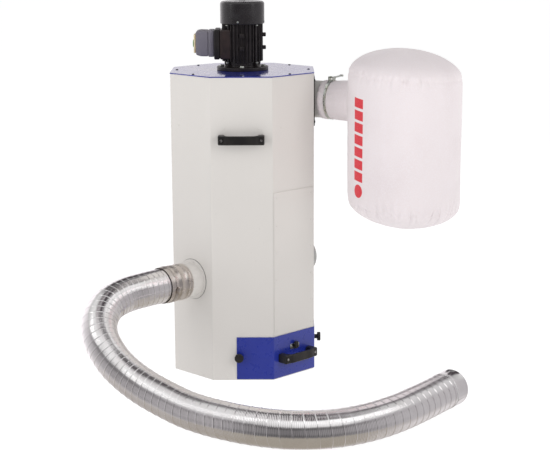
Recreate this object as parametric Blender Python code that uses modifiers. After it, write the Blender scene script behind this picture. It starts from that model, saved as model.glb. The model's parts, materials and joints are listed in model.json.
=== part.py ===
"""Dust collector: octagonal sheet-metal cabinet, vertical motor and blower, filter bag, chip drawer, duct.

Metres, +Z up. The origin is on the floor, on the axis of the cabinet and of the motor. The front is -Y.
"""

import math

import bmesh
import bpy
from mathutils import Matrix, Vector

# ---- driving dimensions ------------------------------------------------------------------------------
WIDTH = 0.440             # cabinet across its front and back faces, and across its side faces
FACE = 0.187              # width of the front, back and side faces; the diagonal faces fill the corners
SHEET = 0.0015            # sheet metal
GAP = 0.0003              # play between touching pieces
SHELL_TOP = 0.937
TOP_SHEET = 0.003
DRAWER_TOP = 0.137
PARTITION_Z = 0.762       # floor of the fan chamber
OUTLET_Z = 0.848
INLET_Z = 0.308
BORE = 0.0525             # inside radius of the inlets
OUTLET_BORE = 0.056
OUTLET_YAW = math.radians(28.0)   # the outlet leaves tangentially to the impeller
DUCT = 0.055              # outside radius of the flexible duct
BAG_RADIUS = 0.1735
BAG_SEAM_LOW, BAG_SEAM_HIGH = 0.5602, 0.9476     # heights on the side of the neck
BAG_BOTTOM, BAG_TOP = 0.4798, 1.0272
BAG_DROOP = 0.065         # how much the bag hangs lower for each metre away from its neck
BAG_CLOTH = 0.002
NECK_LENGTH = 0.3078      # from the outlet plate to the axis of the bag

HALF = WIDTH / 2
DIAGONAL = (HALF + FACE / 2) / math.sqrt(2)      # axis to a diagonal face
FRONT = Vector((0, -1, 0))
RIGHT = Vector((1, 0, 0))
LEFT = Vector((-1, 0, 0))
BACK = Vector((0, 1, 0))
RIGHT_FRONT = Vector((1, -1, 0)).normalized()
LEFT_FRONT = Vector((-1, -1, 0)).normalized()
RIGHT_BACK = Vector((1, 1, 0)).normalized()
NECK = Vector((math.cos(OUTLET_YAW), -math.sin(OUTLET_YAW), 0))
OUTLET = Vector((HALF + GAP + TOP_SHEET, 0, OUTLET_Z))
BAG_AXIS = OUTLET + NECK * NECK_LENGTH

# The duct leaves its cuff, hangs down to the floor on the left and lies across the front to the right.
CUFF_START, CUFF_END = 0.044, 0.129              # along the inlet's axis, from the cabinet's face
DUCT_ROUTE = [
    (-0.252, -0.252, 0.308), (-0.301, -0.299, 0.307), (-0.350, -0.340, 0.301), (-0.386, -0.379, 0.289),
    (-0.405, -0.413, 0.270), (-0.413, -0.447, 0.246), (-0.408, -0.480, 0.218), (-0.392, -0.508, 0.190),
    (-0.360, -0.539, 0.153), (-0.313, -0.572, 0.119), (-0.259, -0.609, 0.093), (-0.200, -0.650, 0.074),
    (-0.147, -0.688, 0.062), (-0.090, -0.728, 0.057), (-0.034, -0.767, 0.056), (0.026, -0.803, 0.056),
    (0.104, -0.834, 0.056), (0.190, -0.844, 0.056), (0.276, -0.826, 0.056), (0.358, -0.780, 0.056),
    (0.437, -0.708, 0.056), (0.511, -0.616, 0.056), (0.585, -0.513, 0.056),
]
COLLAR_LENGTH = 0.056

PALETTE = {
    "cabinet_paint": ((0.62, 0.60, 0.57), 0.45, 0.0),
    "blue_paint": ((0.035, 0.055, 0.30), 0.30, 0.0),
    "black_paint": ((0.012, 0.011, 0.012), 0.35, 0.0),
    "black_plastic": ((0.015, 0.015, 0.016), 0.45, 0.0),
    "grey_plastic": ((0.16, 0.15, 0.17), 0.5, 0.0),
    "green_button": ((0.02, 0.30, 0.06), 0.4, 0.0),
    "red_button": ((0.55, 0.02, 0.02), 0.4, 0.0),
    "bag_cloth": ((0.80, 0.76, 0.75), 0.9, 0.0),
    "duct_aluminium": ((0.80, 0.78, 0.78), 0.25, 1.0),
    "zinc_steel": ((0.62, 0.64, 0.62), 0.35, 1.0),
    "plain_steel": ((0.45, 0.45, 0.46), 0.4, 1.0),
    "cast_alloy": ((0.55, 0.55, 0.56), 0.5, 1.0),
}


# ---- scene and materials -----------------------------------------------------------------------------
def clear_scene():
    for old in list(bpy.data.objects):
        bpy.data.objects.remove(old, do_unlink=True)


def new_collection(name):
    collection = bpy.data.collections.new(name)
    bpy.context.scene.collection.children.link(collection)
    return collection


def make_material(name):
    colour, roughness, metallic = PALETTE[name]
    material = bpy.data.materials.get(name) or bpy.data.materials.new(name)
    material.use_nodes = True
    shader = material.node_tree.nodes["Principled BSDF"]
    shader.inputs["Base Color"].default_value = (*colour, 1.0)
    shader.inputs["Roughness"].default_value = roughness
    shader.inputs["Metallic"].default_value = metallic
    return material


# ---- modelling helpers -------------------------------------------------------------------------------
def add(name, data, finish):
    """Link a new object: a part when it has a finish, a cutter or tool when it has none."""
    thing = bpy.data.objects.new(name, data)
    if finish:
        data.materials.append(make_material(finish))
        parts.objects.link(thing)
    else:
        thing.hide_render = True
        thing.display_type = "WIRE"
        cutters.objects.link(thing)
    return thing


def from_bmesh(name, shape, finish):
    data = bpy.data.meshes.new(name)
    shape.to_mesh(data)
    shape.free()
    return add(name, data, finish)


def block(name, low, high, finish=None, bevel=0.0):
    """A box between two corners, with its edges rounded if bevel is given."""
    low, high = Vector(low), Vector(high)
    shape = bmesh.new()
    bmesh.ops.create_cube(shape, size=1)
    bmesh.ops.scale(shape, vec=high - low, verts=shape.verts)
    bmesh.ops.translate(shape, vec=(low + high) / 2, verts=shape.verts)
    thing = from_bmesh(name, shape, finish)
    if bevel:
        round_edges(thing, bevel)
    return thing


def blocks(name, boxes, finish=None):
    """Several boxes in one tool, for cutting or joining in one Boolean."""
    shape = bmesh.new()
    for low, high in boxes:
        low, high = Vector(low), Vector(high)
        cube = bmesh.ops.create_cube(shape, size=1)["verts"]
        bmesh.ops.scale(shape, vec=high - low, verts=cube)
        bmesh.ops.translate(shape, vec=(low + high) / 2, verts=cube)
    return from_bmesh(name, shape, finish)


def drum(name, radius, low, high, finish=None, sides=24, top_radius=None):
    """A cylinder, or a cone frustum, about the local Z axis."""
    shape = bmesh.new()
    top = radius if top_radius is None else top_radius
    matrix = Matrix.Translation((0, 0, (low + high) / 2))
    bmesh.ops.create_cone(shape, cap_ends=True, segments=sides, radius1=radius, radius2=top,
                          depth=high - low, matrix=matrix)
    return smooth(from_bmesh(name, shape, finish))


def drums(name, centres, radius, low, high, finish=None, sides=16):
    """Several equal cylinders in one tool, at the given local (x, y) centres."""
    shape = bmesh.new()
    for x, y in centres:
        matrix = Matrix.Translation((x, y, (low + high) / 2))
        bmesh.ops.create_cone(shape, cap_ends=True, segments=sides, radius1=radius, radius2=radius,
                              depth=high - low, matrix=matrix)
    return from_bmesh(name, shape, finish)


def turned(name, profile, finish=None, steps=24, closed=False):
    """Turn (radius, z) points about Z. The profile runs down its outer side, from top to bottom."""
    data = bpy.data.meshes.new(name)
    count = len(profile)
    edges = [(i, i + 1) for i in range(count - 1)]
    if closed:
        edges.append((count - 1, 0))
    data.from_pydata([(radius, 0, z) for radius, z in profile], edges, [])
    thing = add(name, data, finish)
    screw = thing.modifiers.new("turn", "SCREW")
    screw.steps = steps
    screw.render_steps = steps
    screw.use_merge_vertices = True
    screw.merge_threshold = 0.0001
    screw.use_smooth_shade = False
    return thing


def prism(name, outlines, low, high, finish=None):
    """Extrude flat (x, y) outlines from z = low to high; an outline inside another is a hole."""
    curve = bpy.data.curves.new(name, "CURVE")
    curve.dimensions = "2D"
    curve.fill_mode = "BOTH"
    curve.extrude = (high - low) / 2
    for outline in outlines:
        spline = curve.splines.new("POLY")
        spline.points.add(len(outline) - 1)
        for point, (x, y) in zip(spline.points, outline):
            point.co = (x, y, 0, 1)
        spline.use_cyclic_u = True
    guide = bpy.data.objects.new(name + "_outline", curve)
    guide.location = (0, 0, (low + high) / 2)
    cutters.objects.link(guide)
    return as_mesh(name, guide, finish)


def as_mesh(name, guide, finish):
    """Turn a curve object into a mesh object with welded caps, with its place baked into the mesh."""
    bpy.context.view_layer.update()
    graph = bpy.context.evaluated_depsgraph_get()
    data = bpy.data.meshes.new_from_object(guide.evaluated_get(graph))
    data.transform(guide.matrix_world)
    shape = bmesh.new()
    shape.from_mesh(data)
    bmesh.ops.remove_doubles(shape, verts=shape.verts, dist=0.00001)
    bmesh.ops.recalc_face_normals(shape, faces=shape.faces)
    bpy.data.objects.remove(guide, do_unlink=True)
    bpy.data.meshes.remove(data)
    return from_bmesh(name, shape, finish)


def boolean(target, tool, operation):
    step = target.modifiers.new(operation.lower(), "BOOLEAN")
    step.operation = operation
    step.solver = "EXACT"
    step.object = tool
    return target


def cut(target, *tools):
    for tool in tools:
        boolean(target, tool, "DIFFERENCE")
    return target


def join(target, *tools):
    for tool in tools:
        boolean(target, tool, "UNION")
    return target


def round_edges(thing, width, segments=1):
    bevel = thing.modifiers.new("rounded", "BEVEL")
    bevel.width = width
    bevel.segments = segments
    bevel.limit_method = "ANGLE"
    bevel.angle_limit = math.radians(40)
    return thing


def smooth(thing):
    thing.data.shade_smooth()
    thing.data.set_sharp_from_angle(angle=math.radians(35))
    return thing


def mount(thing, origin, normal):
    """Place a piece on an upright face: local X runs to the right, Y up and Z along the normal."""
    up = Vector((0, 0, 1))
    right = up.cross(normal)
    turn = Matrix((right, up, normal)).transposed()
    thing.location = origin
    thing.rotation_euler = turn.to_euler()
    return thing


def face_point(normal, height, out=0.0):
    """The middle of the cabinet face that looks along normal, at the given height."""
    reach = DIAGONAL if abs(normal.x * normal.y) > 0.1 else HALF
    point = normal * (reach + out)
    return Vector((point.x, point.y, height))


def octagon(inset):
    """Corners of the cabinet's plan, drawn in by inset, anticlockwise."""
    across = HALF - inset
    half = FACE / 2 - inset * math.tan(math.pi / 8)
    quarter = [(across, -half), (across, half)]
    corners = []
    for turn in range(4):
        angle = turn * math.pi / 2
        for x, y in quarter:
            corners.append((x * math.cos(angle) - y * math.sin(angle),
                            x * math.sin(angle) + y * math.cos(angle)))
    return corners


def circle(radius, sides, start=0.0):
    return [(radius * math.cos(start + 2 * math.pi * i / sides),
             radius * math.sin(start + 2 * math.pi * i / sides)) for i in range(sides)]


# ---- cabinet -----------------------------------------------------------------------------------------
BIN_HALF, BIN_BACK = 0.145, -0.155               # half width and back of the drawer's bin
DRAWER_OPENING = 0.148


def drawer_cutter(name, low, high, half):
    """A box along the drawer's slide, wide enough for the bin, out through the right-front corner."""
    tool = block(name, (-half, -0.02, low), (half, 0.30, high))
    tool.rotation_euler = (0, 0, math.radians(-135))
    return tool


def make_cabinet_shell():
    shell = prism("cabinet_shell", [octagon(0), octagon(SHEET)], 0, SHELL_TOP, "cabinet_paint")
    panel_hole = mount(block("panel_opening", (-0.055, 0.170, -0.05), (0.055, 0.555, 0.05)),
                       face_point(RIGHT_FRONT, 0), RIGHT_FRONT)
    left_hole = mount(drum("left_inlet_hole", BORE, -0.03, 0.03), face_point(LEFT_FRONT, INLET_Z),
                      LEFT_FRONT)
    rear_hole = mount(drum("rear_inlet_hole", BORE, -0.03, 0.03), face_point(RIGHT_BACK, INLET_Z),
                      RIGHT_BACK)
    outlet_hole = mount(drum("outlet_hole", OUTLET_BORE, -0.06, 0.06), OUTLET, NECK)
    drawer_hole = drawer_cutter("drawer_opening", 0.004, 0.133, DRAWER_OPENING)
    cut(shell, panel_hole, left_hole, rear_hole, outlet_hole, drawer_hole)


def make_base_pan():
    inset = SHEET + GAP
    pan = prism("base_pan", [octagon(inset)], 0, 0.014, "cabinet_paint")
    hollow = prism("pan_hollow", [octagon(inset + SHEET)], SHEET, 0.03)
    cut(pan, hollow, drawer_cutter("pan_notch", SHEET, 0.03, DRAWER_OPENING))


def make_access_panel():
    half = 0.0865
    panel = block("access_panel", (-half, 0.1395, GAP), (half, 0.587, GAP + SHEET), "cabinet_paint")
    mount(panel, face_point(RIGHT_FRONT, 0), RIGHT_FRONT)


def make_partition():
    """The floor of the fan chamber, a tray with an upturned flange and a hole for the inlet cone."""
    inset = SHEET + GAP
    tray = prism("fan_partition", [octagon(inset)], PARTITION_Z, 0.800, "cabinet_paint")
    hollow = prism("tray_hollow", [octagon(inset + SHEET)], PARTITION_Z + SHEET, 0.83)
    outlet_slot = block("tray_slot", (0.20, -0.08, 0.780), (0.24, 0.08, 0.83))
    cut(tray, hollow, outlet_slot, drum("eye_hole", 0.082, 0.75, 0.78))


def make_scroll():
    """The blower's volute: a wall that opens out clockwise, seen from above, towards the outlet."""
    start, sweep, steps = math.radians(-24), math.radians(300), 24
    points = []
    for i in range(steps + 1):
        angle = start - sweep * i / steps
        reach = 0.148 + 0.050 * i / steps
        points.append((reach * math.cos(angle), reach * math.sin(angle)))
    inner = [(x * (1 - SHEET / math.hypot(x, y)), y * (1 - SHEET / math.hypot(x, y))) for x, y in points]
    prism("fan_scroll", [points + inner[::-1]], PARTITION_Z + SHEET + GAP, SHELL_TOP - GAP,
          "plain_steel")


def make_inlet_cone():
    base = PARTITION_Z
    wall = [(0.0635, base + 0.090), (0.0635, base + 0.060), (0.0815, base + 0.010), (0.0815, base - 0.012),
            (0.0800, base - 0.012), (0.0800, base + 0.009), (0.0620, base + 0.059), (0.0620, base + 0.090)]
    turned("inlet_cone", wall, "plain_steel", 24, True)


def make_top_plate():
    plate = prism("top_plate", [octagon(-0.0015)], SHELL_TOP + GAP, SHELL_TOP + GAP + TOP_SHEET,
                  "blue_paint")
    cut(plate, drum("motor_spigot_hole", 0.048, 0.92, 0.95))


def ring_profile(inner, outer, low, high):
    return [(inner, high), (outer, high), (outer, low), (inner, low)]


def spigot_profile(length, outer):
    return [(BORE, length), (outer, length), (outer, 0.002 + GAP), (0.062, 0.002 + GAP), (0.062, GAP),
            (BORE, GAP)]


def make_inlet_spigots():
    left = turned("left_inlet_spigot", spigot_profile(0.075, 0.054), "cabinet_paint", 24, True)
    mount(left, face_point(LEFT_FRONT, INLET_Z), LEFT_FRONT)
    rear = turned("rear_inlet_spigot", spigot_profile(0.052, 0.054), "cabinet_paint", 24, True)
    mount(rear, face_point(RIGHT_BACK, INLET_Z), RIGHT_BACK)


def make_rear_inlet_cap():
    """A push-on cap over the end of the spare inlet."""
    cup = [(0.0, 0.0538), (0.0560, 0.0538), (0.0568, 0.0530), (0.0568, 0.0300), (0.0546, 0.0300),
           (0.0546, 0.0523), (0.0, 0.0523)]
    cap = turned("rear_inlet_cap", cup, "grey_plastic")
    mount(cap, face_point(RIGHT_BACK, INLET_Z), RIGHT_BACK)


# ---- outlet and filter bag ---------------------------------------------------------------------------
def make_outlet():
    half = 0.076
    low = (HALF + GAP, -half, OUTLET_Z - half)
    plate = block("outlet_plate", low, (HALF + GAP + TOP_SHEET, half, OUTLET_Z + half), "black_paint")
    cut(plate, mount(drum("plate_hole", OUTLET_BORE, -0.06, 0.06), OUTLET, NECK))
    tube = turned("outlet_spigot", ring_profile(OUTLET_BORE, 0.0575, -0.06, 0.095), "cabinet_paint", 24,
                  True)
    mount(tube, OUTLET, NECK)
    cut(tube, block("spigot_mitre", (0.10, -0.2, 0.70), (OUTLET.x + GAP, 0.2, 1.0)))


def bag_profile(inset):
    """Half outline of the inflated drum, from the top centre down, drawn in by inset."""
    steps, fullness = 6, 1.85
    radius = BAG_RADIUS - inset
    points = []
    for i in range(steps + 1):
        angle = math.pi / 2 * i / steps
        reach = radius * math.sin(angle) ** (2 / fullness)
        points.append((reach, BAG_SEAM_HIGH + (BAG_TOP - inset - BAG_SEAM_HIGH)
                       * math.cos(angle) ** (2 / fullness)))
    for i in range(steps, -1, -1):
        angle = math.pi / 2 * i / steps
        reach = radius * math.sin(angle) ** (2 / fullness)
        points.append((reach, BAG_SEAM_LOW - (BAG_SEAM_LOW - BAG_BOTTOM - inset)
                       * math.cos(angle) ** (2 / fullness)))
    return points


def hanging_drum(name, inset, finish=None):
    """The bag's drum, round in plan and hanging a little lower away from its neck."""
    sides = 28
    profile = bag_profile(inset)
    points = [(0, 0, profile[0][1])]
    for reach, z in profile[1:-1]:
        points += [(reach * math.cos(2 * math.pi * k / sides), reach * math.sin(2 * math.pi * k / sides), z)
                   for k in range(sides)]
    points.append((0, 0, profile[-1][1]))
    rings = len(profile) - 2
    faces = []
    for k in range(sides):
        j = (k + 1) % sides
        faces.append((0, 1 + k, 1 + j))
        for ring in range(rings - 1):
            high, low = 1 + ring * sides, 1 + (ring + 1) * sides
            faces.append((high + k, low + k, low + j, high + j))
        last = 1 + (rings - 1) * sides
        faces.append((last + k, len(points) - 1, last + j))
    hung = [(BAG_AXIS.x + x, BAG_AXIS.y + y, z - BAG_DROOP * (NECK.x * x + NECK.y * y + BAG_RADIUS))
            for x, y, z in points]
    data = bpy.data.meshes.new(name)
    data.from_pydata(hung, [], faces)
    return add(name, data, finish)


def make_filter_bag():
    """A closed cloth drum with one sleeve, which is drawn over the outlet spigot."""
    bag = hanging_drum("filter_bag", 0, "bag_cloth")
    sleeve = mount(drum("sleeve", 0.0598, 0.036, 0.22), OUTLET, NECK)
    bore = mount(drum("sleeve_bore", 0.0580, 0.03, 0.24), OUTLET, NECK)
    cut(join(bag, sleeve), hanging_drum("bag_inside", BAG_CLOTH), bore)


CLAMP_AT = 0.064          # the band clamp's place along the neck
BAND_IN, BAND_OUT = 0.0602, 0.0612
LEVER_PIVOT = 0.0690      # height of the lever's pin above the neck's axis


def make_bag_clamp():
    band = turned("bag_clamp_band", ring_profile(BAND_IN, BAND_OUT, CLAMP_AT - 0.0045, CLAMP_AT + 0.0045),
                  "zinc_steel", 24, True)
    mount(band, OUTLET, NECK)
    bracket = block("clamp_bracket", (-0.016, 0.0580, CLAMP_AT - 0.0085), (0.004, 0.0735, CLAMP_AT + 0.0085))
    slot = block("clamp_slot", (-0.030, 0.0628, CLAMP_AT - 0.0063), (0.030, 0.0800, CLAMP_AT + 0.0063))
    bore = drum("clamp_bore", BAND_IN, 0.040, 0.090)
    for tool in (bracket, slot, bore):
        mount(tool, OUTLET, NECK)
    join(band, cut(bracket, slot, bore))


def make_clamp_lever():
    """The over-centre lever: a flat bar with a rolled tip that turns on a pin between the ears."""
    pivot = OUTLET + NECK * CLAMP_AT + Vector((0, 0, LEVER_PIVOT))
    bar = block("clamp_lever", (-0.004, -0.0016, -0.0058), (0.062, 0.0016, 0.0058), "zinc_steel", 0.0006)
    tip = drum("lever_tip", 0.0042, -0.0058, 0.0058, None, 14)
    tip.data.transform(Matrix.Translation((0.062, 0.0005, 0)))
    pin = drum("lever_pin", 0.0030, -0.0058, 0.0058, None, 14)
    for piece in (bar, tip, pin):
        mount(piece, pivot, NECK)
    join(bar, tip, pin)


# ---- duct --------------------------------------------------------------------------------------------
def smooth_route(points, per_span):
    """Read a Catmull-Rom curve through the route's points."""
    knots = [Vector(p) for p in points]
    knots = [knots[0] * 2 - knots[1]] + knots + [knots[-1] * 2 - knots[-2]]
    path = []
    for a, b, c, d in zip(knots, knots[1:], knots[2:], knots[3:]):
        for i in range(per_span):
            t = i / per_span
            path.append(0.5 * (2 * b + (c - a) * t + (2 * a - 5 * b + 4 * c - d) * t ** 2
                               + (3 * b - a - 3 * c + d) * t ** 3))
    return path + [knots[-2]]


def duct_path():
    """The duct's centreline: square out of the cuff, then through the route's points."""
    return [face_point(LEFT_FRONT, INLET_Z, CUFF_END + GAP)] + smooth_route(DUCT_ROUTE, 2)


def make_duct():
    curve = bpy.data.curves.new("inlet_hose", "CURVE")
    curve.dimensions = "3D"
    curve.bevel_depth = DUCT
    curve.bevel_resolution = 3
    spline = curve.splines.new("POLY")
    path = duct_path()
    spline.points.add(len(path) - 1)
    for point, place in zip(spline.points, path):
        point.co = (*place, 1)
    guide = bpy.data.objects.new("duct_guide", curve)
    cutters.objects.link(guide)
    duct = as_mesh("inlet_hose", guide, "duct_aluminium")
    wall = duct.modifiers.new("wall", "SOLIDIFY")
    wall.thickness = 0.0010
    wall.offset = -1


def make_duct_ends():
    cuff = turned("hose_cuff", [(0.0545, CUFF_END), (0.0560, CUFF_END), (0.0560, CUFF_START),
                                (0.0545, CUFF_START)], "duct_aluminium", 24, True)
    mount(cuff, face_point(LEFT_FRONT, INLET_Z), LEFT_FRONT)
    band = turned("hose_clamp", ring_profile(0.0563, 0.0571, 0.103, 0.113), "zinc_steel", 24, True)
    mount(band, face_point(LEFT_FRONT, INLET_Z), LEFT_FRONT)
    worm = block("worm_housing", (-0.009, -0.0640, 0.1015), (0.009, -0.0568, 0.1145))
    worm.data.transform(Matrix.Rotation(math.radians(25), 4, "Z"))
    mount(worm, face_point(LEFT_FRONT, INLET_Z), LEFT_FRONT)
    join(band, worm)
    before, last = duct_path()[-2:]
    along = (last - before).normalized()
    collar = turned("hose_end_collar", ring_profile(0.0535, DUCT, GAP, COLLAR_LENGTH), "duct_aluminium",
                    24, True)
    mount(collar, last, along)


# ---- handles -----------------------------------------------------------------------------------------
def handle_outline():
    """Side view of a bridge handle: feet on the face at y = 0, the bar standing out along +y."""
    outer, inner = 0.0695, 0.0505
    right = [(inner, GAP), (outer, GAP), (outer, 0.031), (outer - 0.003, 0.036), (outer - 0.008, 0.039)]
    arch = [(-0.040, 0.028), (-0.046, 0.026), (-inner, 0.021)]
    left = [(-x, y) for x, y in reversed(right)]
    return right + left + arch[::-1] + [(-x, y) for x, y in arch]


def make_handle(name, origin, normal):
    width = 0.0277
    bar = prism(name, [handle_outline()], -width / 2, width / 2, "black_plastic")
    bar.data.transform(Matrix.Rotation(math.radians(90), 4, "X"))
    holes = drums(name + "_screw_holes", [(-0.060, 0), (0.060, 0)], 0.0052, 0.030, 0.05)
    mount(bar, origin, normal)
    mount(holes, origin, normal)
    cut(round_edges(bar, 0.0015), holes)
    for side, x in (("left", -0.060), ("right", 0.060)):
        screw = drum(f"{name}_{side}_screw", 0.0045, 0.0303, 0.0345, "zinc_steel", 14)
        screw.data.transform(Matrix.Translation((x, 0, 0)))
        mount(screw, origin, normal)


# ---- drawer ------------------------------------------------------------------------------------------
WING_END = -0.020         # where the front wing ends on the front face; the side wing mirrors it
DRAWER_PROUD = 0.0005
KNOB_Z = 0.075
KNOB_X = -0.0125          # close to the wing's end, which the knob's head overhangs


def wrap_outline(out, end):
    """Plan of a strip that wraps the right-front corner at a distance out from the cabinet."""
    across = HALF + out
    half = FACE / 2 + out * math.tan(math.pi / 8)
    return [(end, -across), (half, -across), (across, -half), (across, -end)]


def make_drawer():
    outer = wrap_outline(DRAWER_PROUD + SHEET, WING_END)
    inner = wrap_outline(DRAWER_PROUD, WING_END)
    front = prism("drawer_front", [outer + inner[::-1]], 0.003, DRAWER_TOP, "blue_paint")
    for name, origin, normal in knob_places():
        cut(front, mount(drum(name + "_hole", 0.0048, -0.02, 0.02), origin, normal))
    make_bin()
    make_handle("drawer_handle", face_point(RIGHT_FRONT, 0.066, DRAWER_PROUD + SHEET), RIGHT_FRONT)


def bin_outline(inset):
    """Plan of the bin: square at the back, and following the three drawer faces at the front."""
    side, back = BIN_HALF - inset, BIN_BACK + inset
    tip = DIAGONAL - SHEET - 0.001 - inset
    shoulder = tip - (side - (FACE / 2 / math.sqrt(2) + 0.020))
    points = [(-side, back), (side, back), (side, shoulder), (side - (tip - shoulder), tip),
              (-side + (tip - shoulder), tip), (-side, shoulder)]
    turn = -3 * math.pi / 4
    return [(x * math.cos(turn) - y * math.sin(turn), x * math.sin(turn) + y * math.cos(turn))
            for x, y in points]


def make_bin():
    tray = prism("drawer_bin", [bin_outline(0)], 0.0060, 0.125, "plain_steel")
    cut(tray, prism("bin_hollow", [bin_outline(0.0015)], 0.0075, 0.14))


def knob_places():
    out = DRAWER_PROUD + SHEET
    return [("left_knob", Vector((KNOB_X, -HALF - out, KNOB_Z)), FRONT),
            ("right_knob", Vector((HALF + out, -KNOB_X, KNOB_Z)), RIGHT)]


def make_knobs():
    """Clamping knobs: a head on a hub, with a moulded-in stud through the wing of the drawer front."""
    for name, origin, normal in knob_places():
        profile = [(0.0, 0.0215), (0.0120, 0.0215), (0.0140, 0.0195), (0.0140, 0.0115), (0.0125, 0.0105),
                   (0.0070, 0.0105), (0.0070, GAP), (0.0040, GAP), (0.0040, -SHEET), (0.0, -SHEET)]
        mount(turned(name, profile, "black_plastic", 20), origin, normal)


def make_drawer_catch():
    """A keeper plate with a quarter-turn catch, above the drawer's handle."""
    origin = face_point(RIGHT_FRONT, 0.093, DRAWER_PROUD + SHEET)
    plate = block("catch_plate", (-0.020, -0.008, GAP), (0.020, 0.008, 0.0018), "zinc_steel", 0.0006)
    mount(plate, origin, RIGHT_FRONT)
    turn = block("drawer_catch", (-0.0075, -0.0065, 0.0050), (0.0075, 0.0160, 0.0120), "black_plastic",
                 0.0015)
    hub = drum("catch_hub", 0.0055, 0.0021, 0.0070, None, 16)
    mount(turn, origin, RIGHT_FRONT)
    mount(hub, origin, RIGHT_FRONT)
    join(turn, hub)
    for side, x in (("left", -0.0135), ("right", 0.0135)):
        screw = drum(f"catch_{side}_screw", 0.0035, 0.0021, 0.0046, "zinc_steel", 14)
        screw.data.transform(Matrix.Translation((x, 0, 0)))
        mount(screw, origin, RIGHT_FRONT)


# ---- motor -------------------------------------------------------------------------------------------
PLATE_TOP = SHELL_TOP + GAP + TOP_SHEET
FLANGE_TOP = 0.9515
SHIELD_TOP = 0.9680
BODY_TOP = 1.0830
COWL_LOW, COWL_TOP = 1.0840, 1.1520
FIN_ROOT, FIN_TIP, STATOR_BORE = 0.0565, 0.0635, 0.0525
SHAFT = 0.0070
BOLT_CIRCLE = 0.065


def bolt_spots():
    return [(BOLT_CIRCLE * math.cos(a), BOLT_CIRCLE * math.sin(a))
            for a in (i * math.pi / 2 for i in range(4))]


def make_motor_flange():
    """The drive-end shield: mounting flange, spigot, bearing housing and four gussets."""
    profile = [(0.0180, 0.9660), (0.0180, SHIELD_TOP), (0.0560, SHIELD_TOP), (0.0540, FLANGE_TOP),
               (0.0800, FLANGE_TOP), (0.0800, PLATE_TOP + GAP), (0.0475, PLATE_TOP + GAP),
               (0.0475, 0.9375), (0.0100, 0.9375), (0.0100, 0.9520), (0.0180, 0.9520)]
    shield = turned("motor_flange", profile, "black_paint", 28, True)
    ribs = []
    for low, high in (((0.050, -0.005), (0.0745, 0.005)), ((-0.0745, -0.005), (-0.050, 0.005)),
                      ((-0.005, 0.050), (0.005, 0.0745)), ((-0.005, -0.0745), (0.005, -0.050))):
        ribs.append(((*low, FLANGE_TOP - 0.002), (*high, SHIELD_TOP - 0.006)))
    gussets = blocks("shield_ribs", ribs)
    gussets.rotation_euler = (0, 0, math.radians(45))
    join(shield, gussets)
    cut(shield, drums("flange_holes", bolt_spots(), 0.0050, 0.93, 0.96))


def make_flange_bolts():
    for i, (x, y) in enumerate(bolt_spots()):
        head = drum(f"flange_bolt_{i + 1}", 0.0066, FLANGE_TOP + GAP, FLANGE_TOP + 0.0055, "zinc_steel", 6)
        head.location = (x, y, 0)
        shank = drum(f"bolt_shank_{i + 1}", 0.0040, PLATE_TOP + 0.001, FLANGE_TOP + 0.002, None, 12)
        shank.location = (x, y, 0)
        join(head, shank)


def fin_outline(count):
    """Plan of the motor housing: square-edged cooling fins on a round body."""
    pitch = 2 * math.pi / count
    points = []
    for i in range(count):
        middle = i * pitch
        for offset, radius in ((-0.50, FIN_ROOT), (-0.20, FIN_ROOT), (-0.16, FIN_TIP), (0.16, FIN_TIP),
                               (0.20, FIN_ROOT)):
            angle = middle + offset * pitch
            points.append((radius * math.cos(angle), radius * math.sin(angle)))
    return points


def make_motor_housing():
    body = prism("motor_housing", [fin_outline(32), circle(STATOR_BORE, 24)], SHIELD_TOP + GAP, BODY_TOP,
                 "black_paint")
    pads = []
    for z in (1.0095, 1.0490):
        pads.append(((0.054, -0.0065, z - 0.006), (0.0730, 0.0065, z + 0.006)))
        pads.append(((-0.0065, -0.0730, z - 0.006), (0.0065, -0.054, z + 0.006)))
    join(body, blocks("foot_pads", pads))


def make_motor_inside():
    turned("stator_core", ring_profile(0.0320, STATOR_BORE - 0.0005, 0.985, 1.066), "plain_steel", 24, True)
    turned("rotor_core", ring_profile(SHAFT + 0.0004, 0.0310, 0.987, 1.064), "cast_alloy", 24, True)
    for name, low in (("front_bearing", 0.9530), ("rear_bearing", 1.0850)):
        turned(name, ring_profile(SHAFT + 0.0004, 0.0176, low, low + 0.011), "plain_steel", 24, True)


def make_rear_shield():
    profile = [(0.0180, 1.0842), (0.0180, 1.0985), (0.0230, 1.0985), (0.0260, 1.0890), (0.0640, 1.0890),
               (0.0640, BODY_TOP + GAP), (0.0100, BODY_TOP + GAP), (0.0100, 1.0842)]
    turned("motor_rear_shield", profile, "black_paint", 28, True)


def make_fan_cowl():
    """The fan cover: a rounded cup, open below, with radial air slots in its end."""
    outer, wall = 0.0685, 0.0012
    points = [(0.0, COWL_TOP), (0.056, COWL_TOP), (0.0625, COWL_TOP - 0.0018),
              (0.0668, COWL_TOP - 0.0058), (outer, COWL_TOP - 0.0125), (outer, COWL_LOW)]
    inner = [(outer - wall, COWL_LOW), (outer - wall, COWL_TOP - 0.0130),
             (0.0655, COWL_TOP - 0.0066), (0.0618, COWL_TOP - 0.0031), (0.055, COWL_TOP - wall),
             (0.0, COWL_TOP - wall)]
    cowl = turned("fan_cowl", points + inner, "black_paint", 28)
    count, shape = 12, bmesh.new()
    for i in range(count):
        slot = bmesh.ops.create_cube(shape, size=1)["verts"]
        bmesh.ops.scale(shape, vec=(0.034, 0.0044, 0.016), verts=slot)
        bmesh.ops.translate(shape, vec=(0.035, 0, COWL_TOP + 0.002), verts=slot)
        bmesh.ops.rotate(shape, matrix=Matrix.Rotation(2 * math.pi * i / count, 3, "Z"), verts=slot)
    cut(cowl, from_bmesh("cowl_slots", shape, None))


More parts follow.
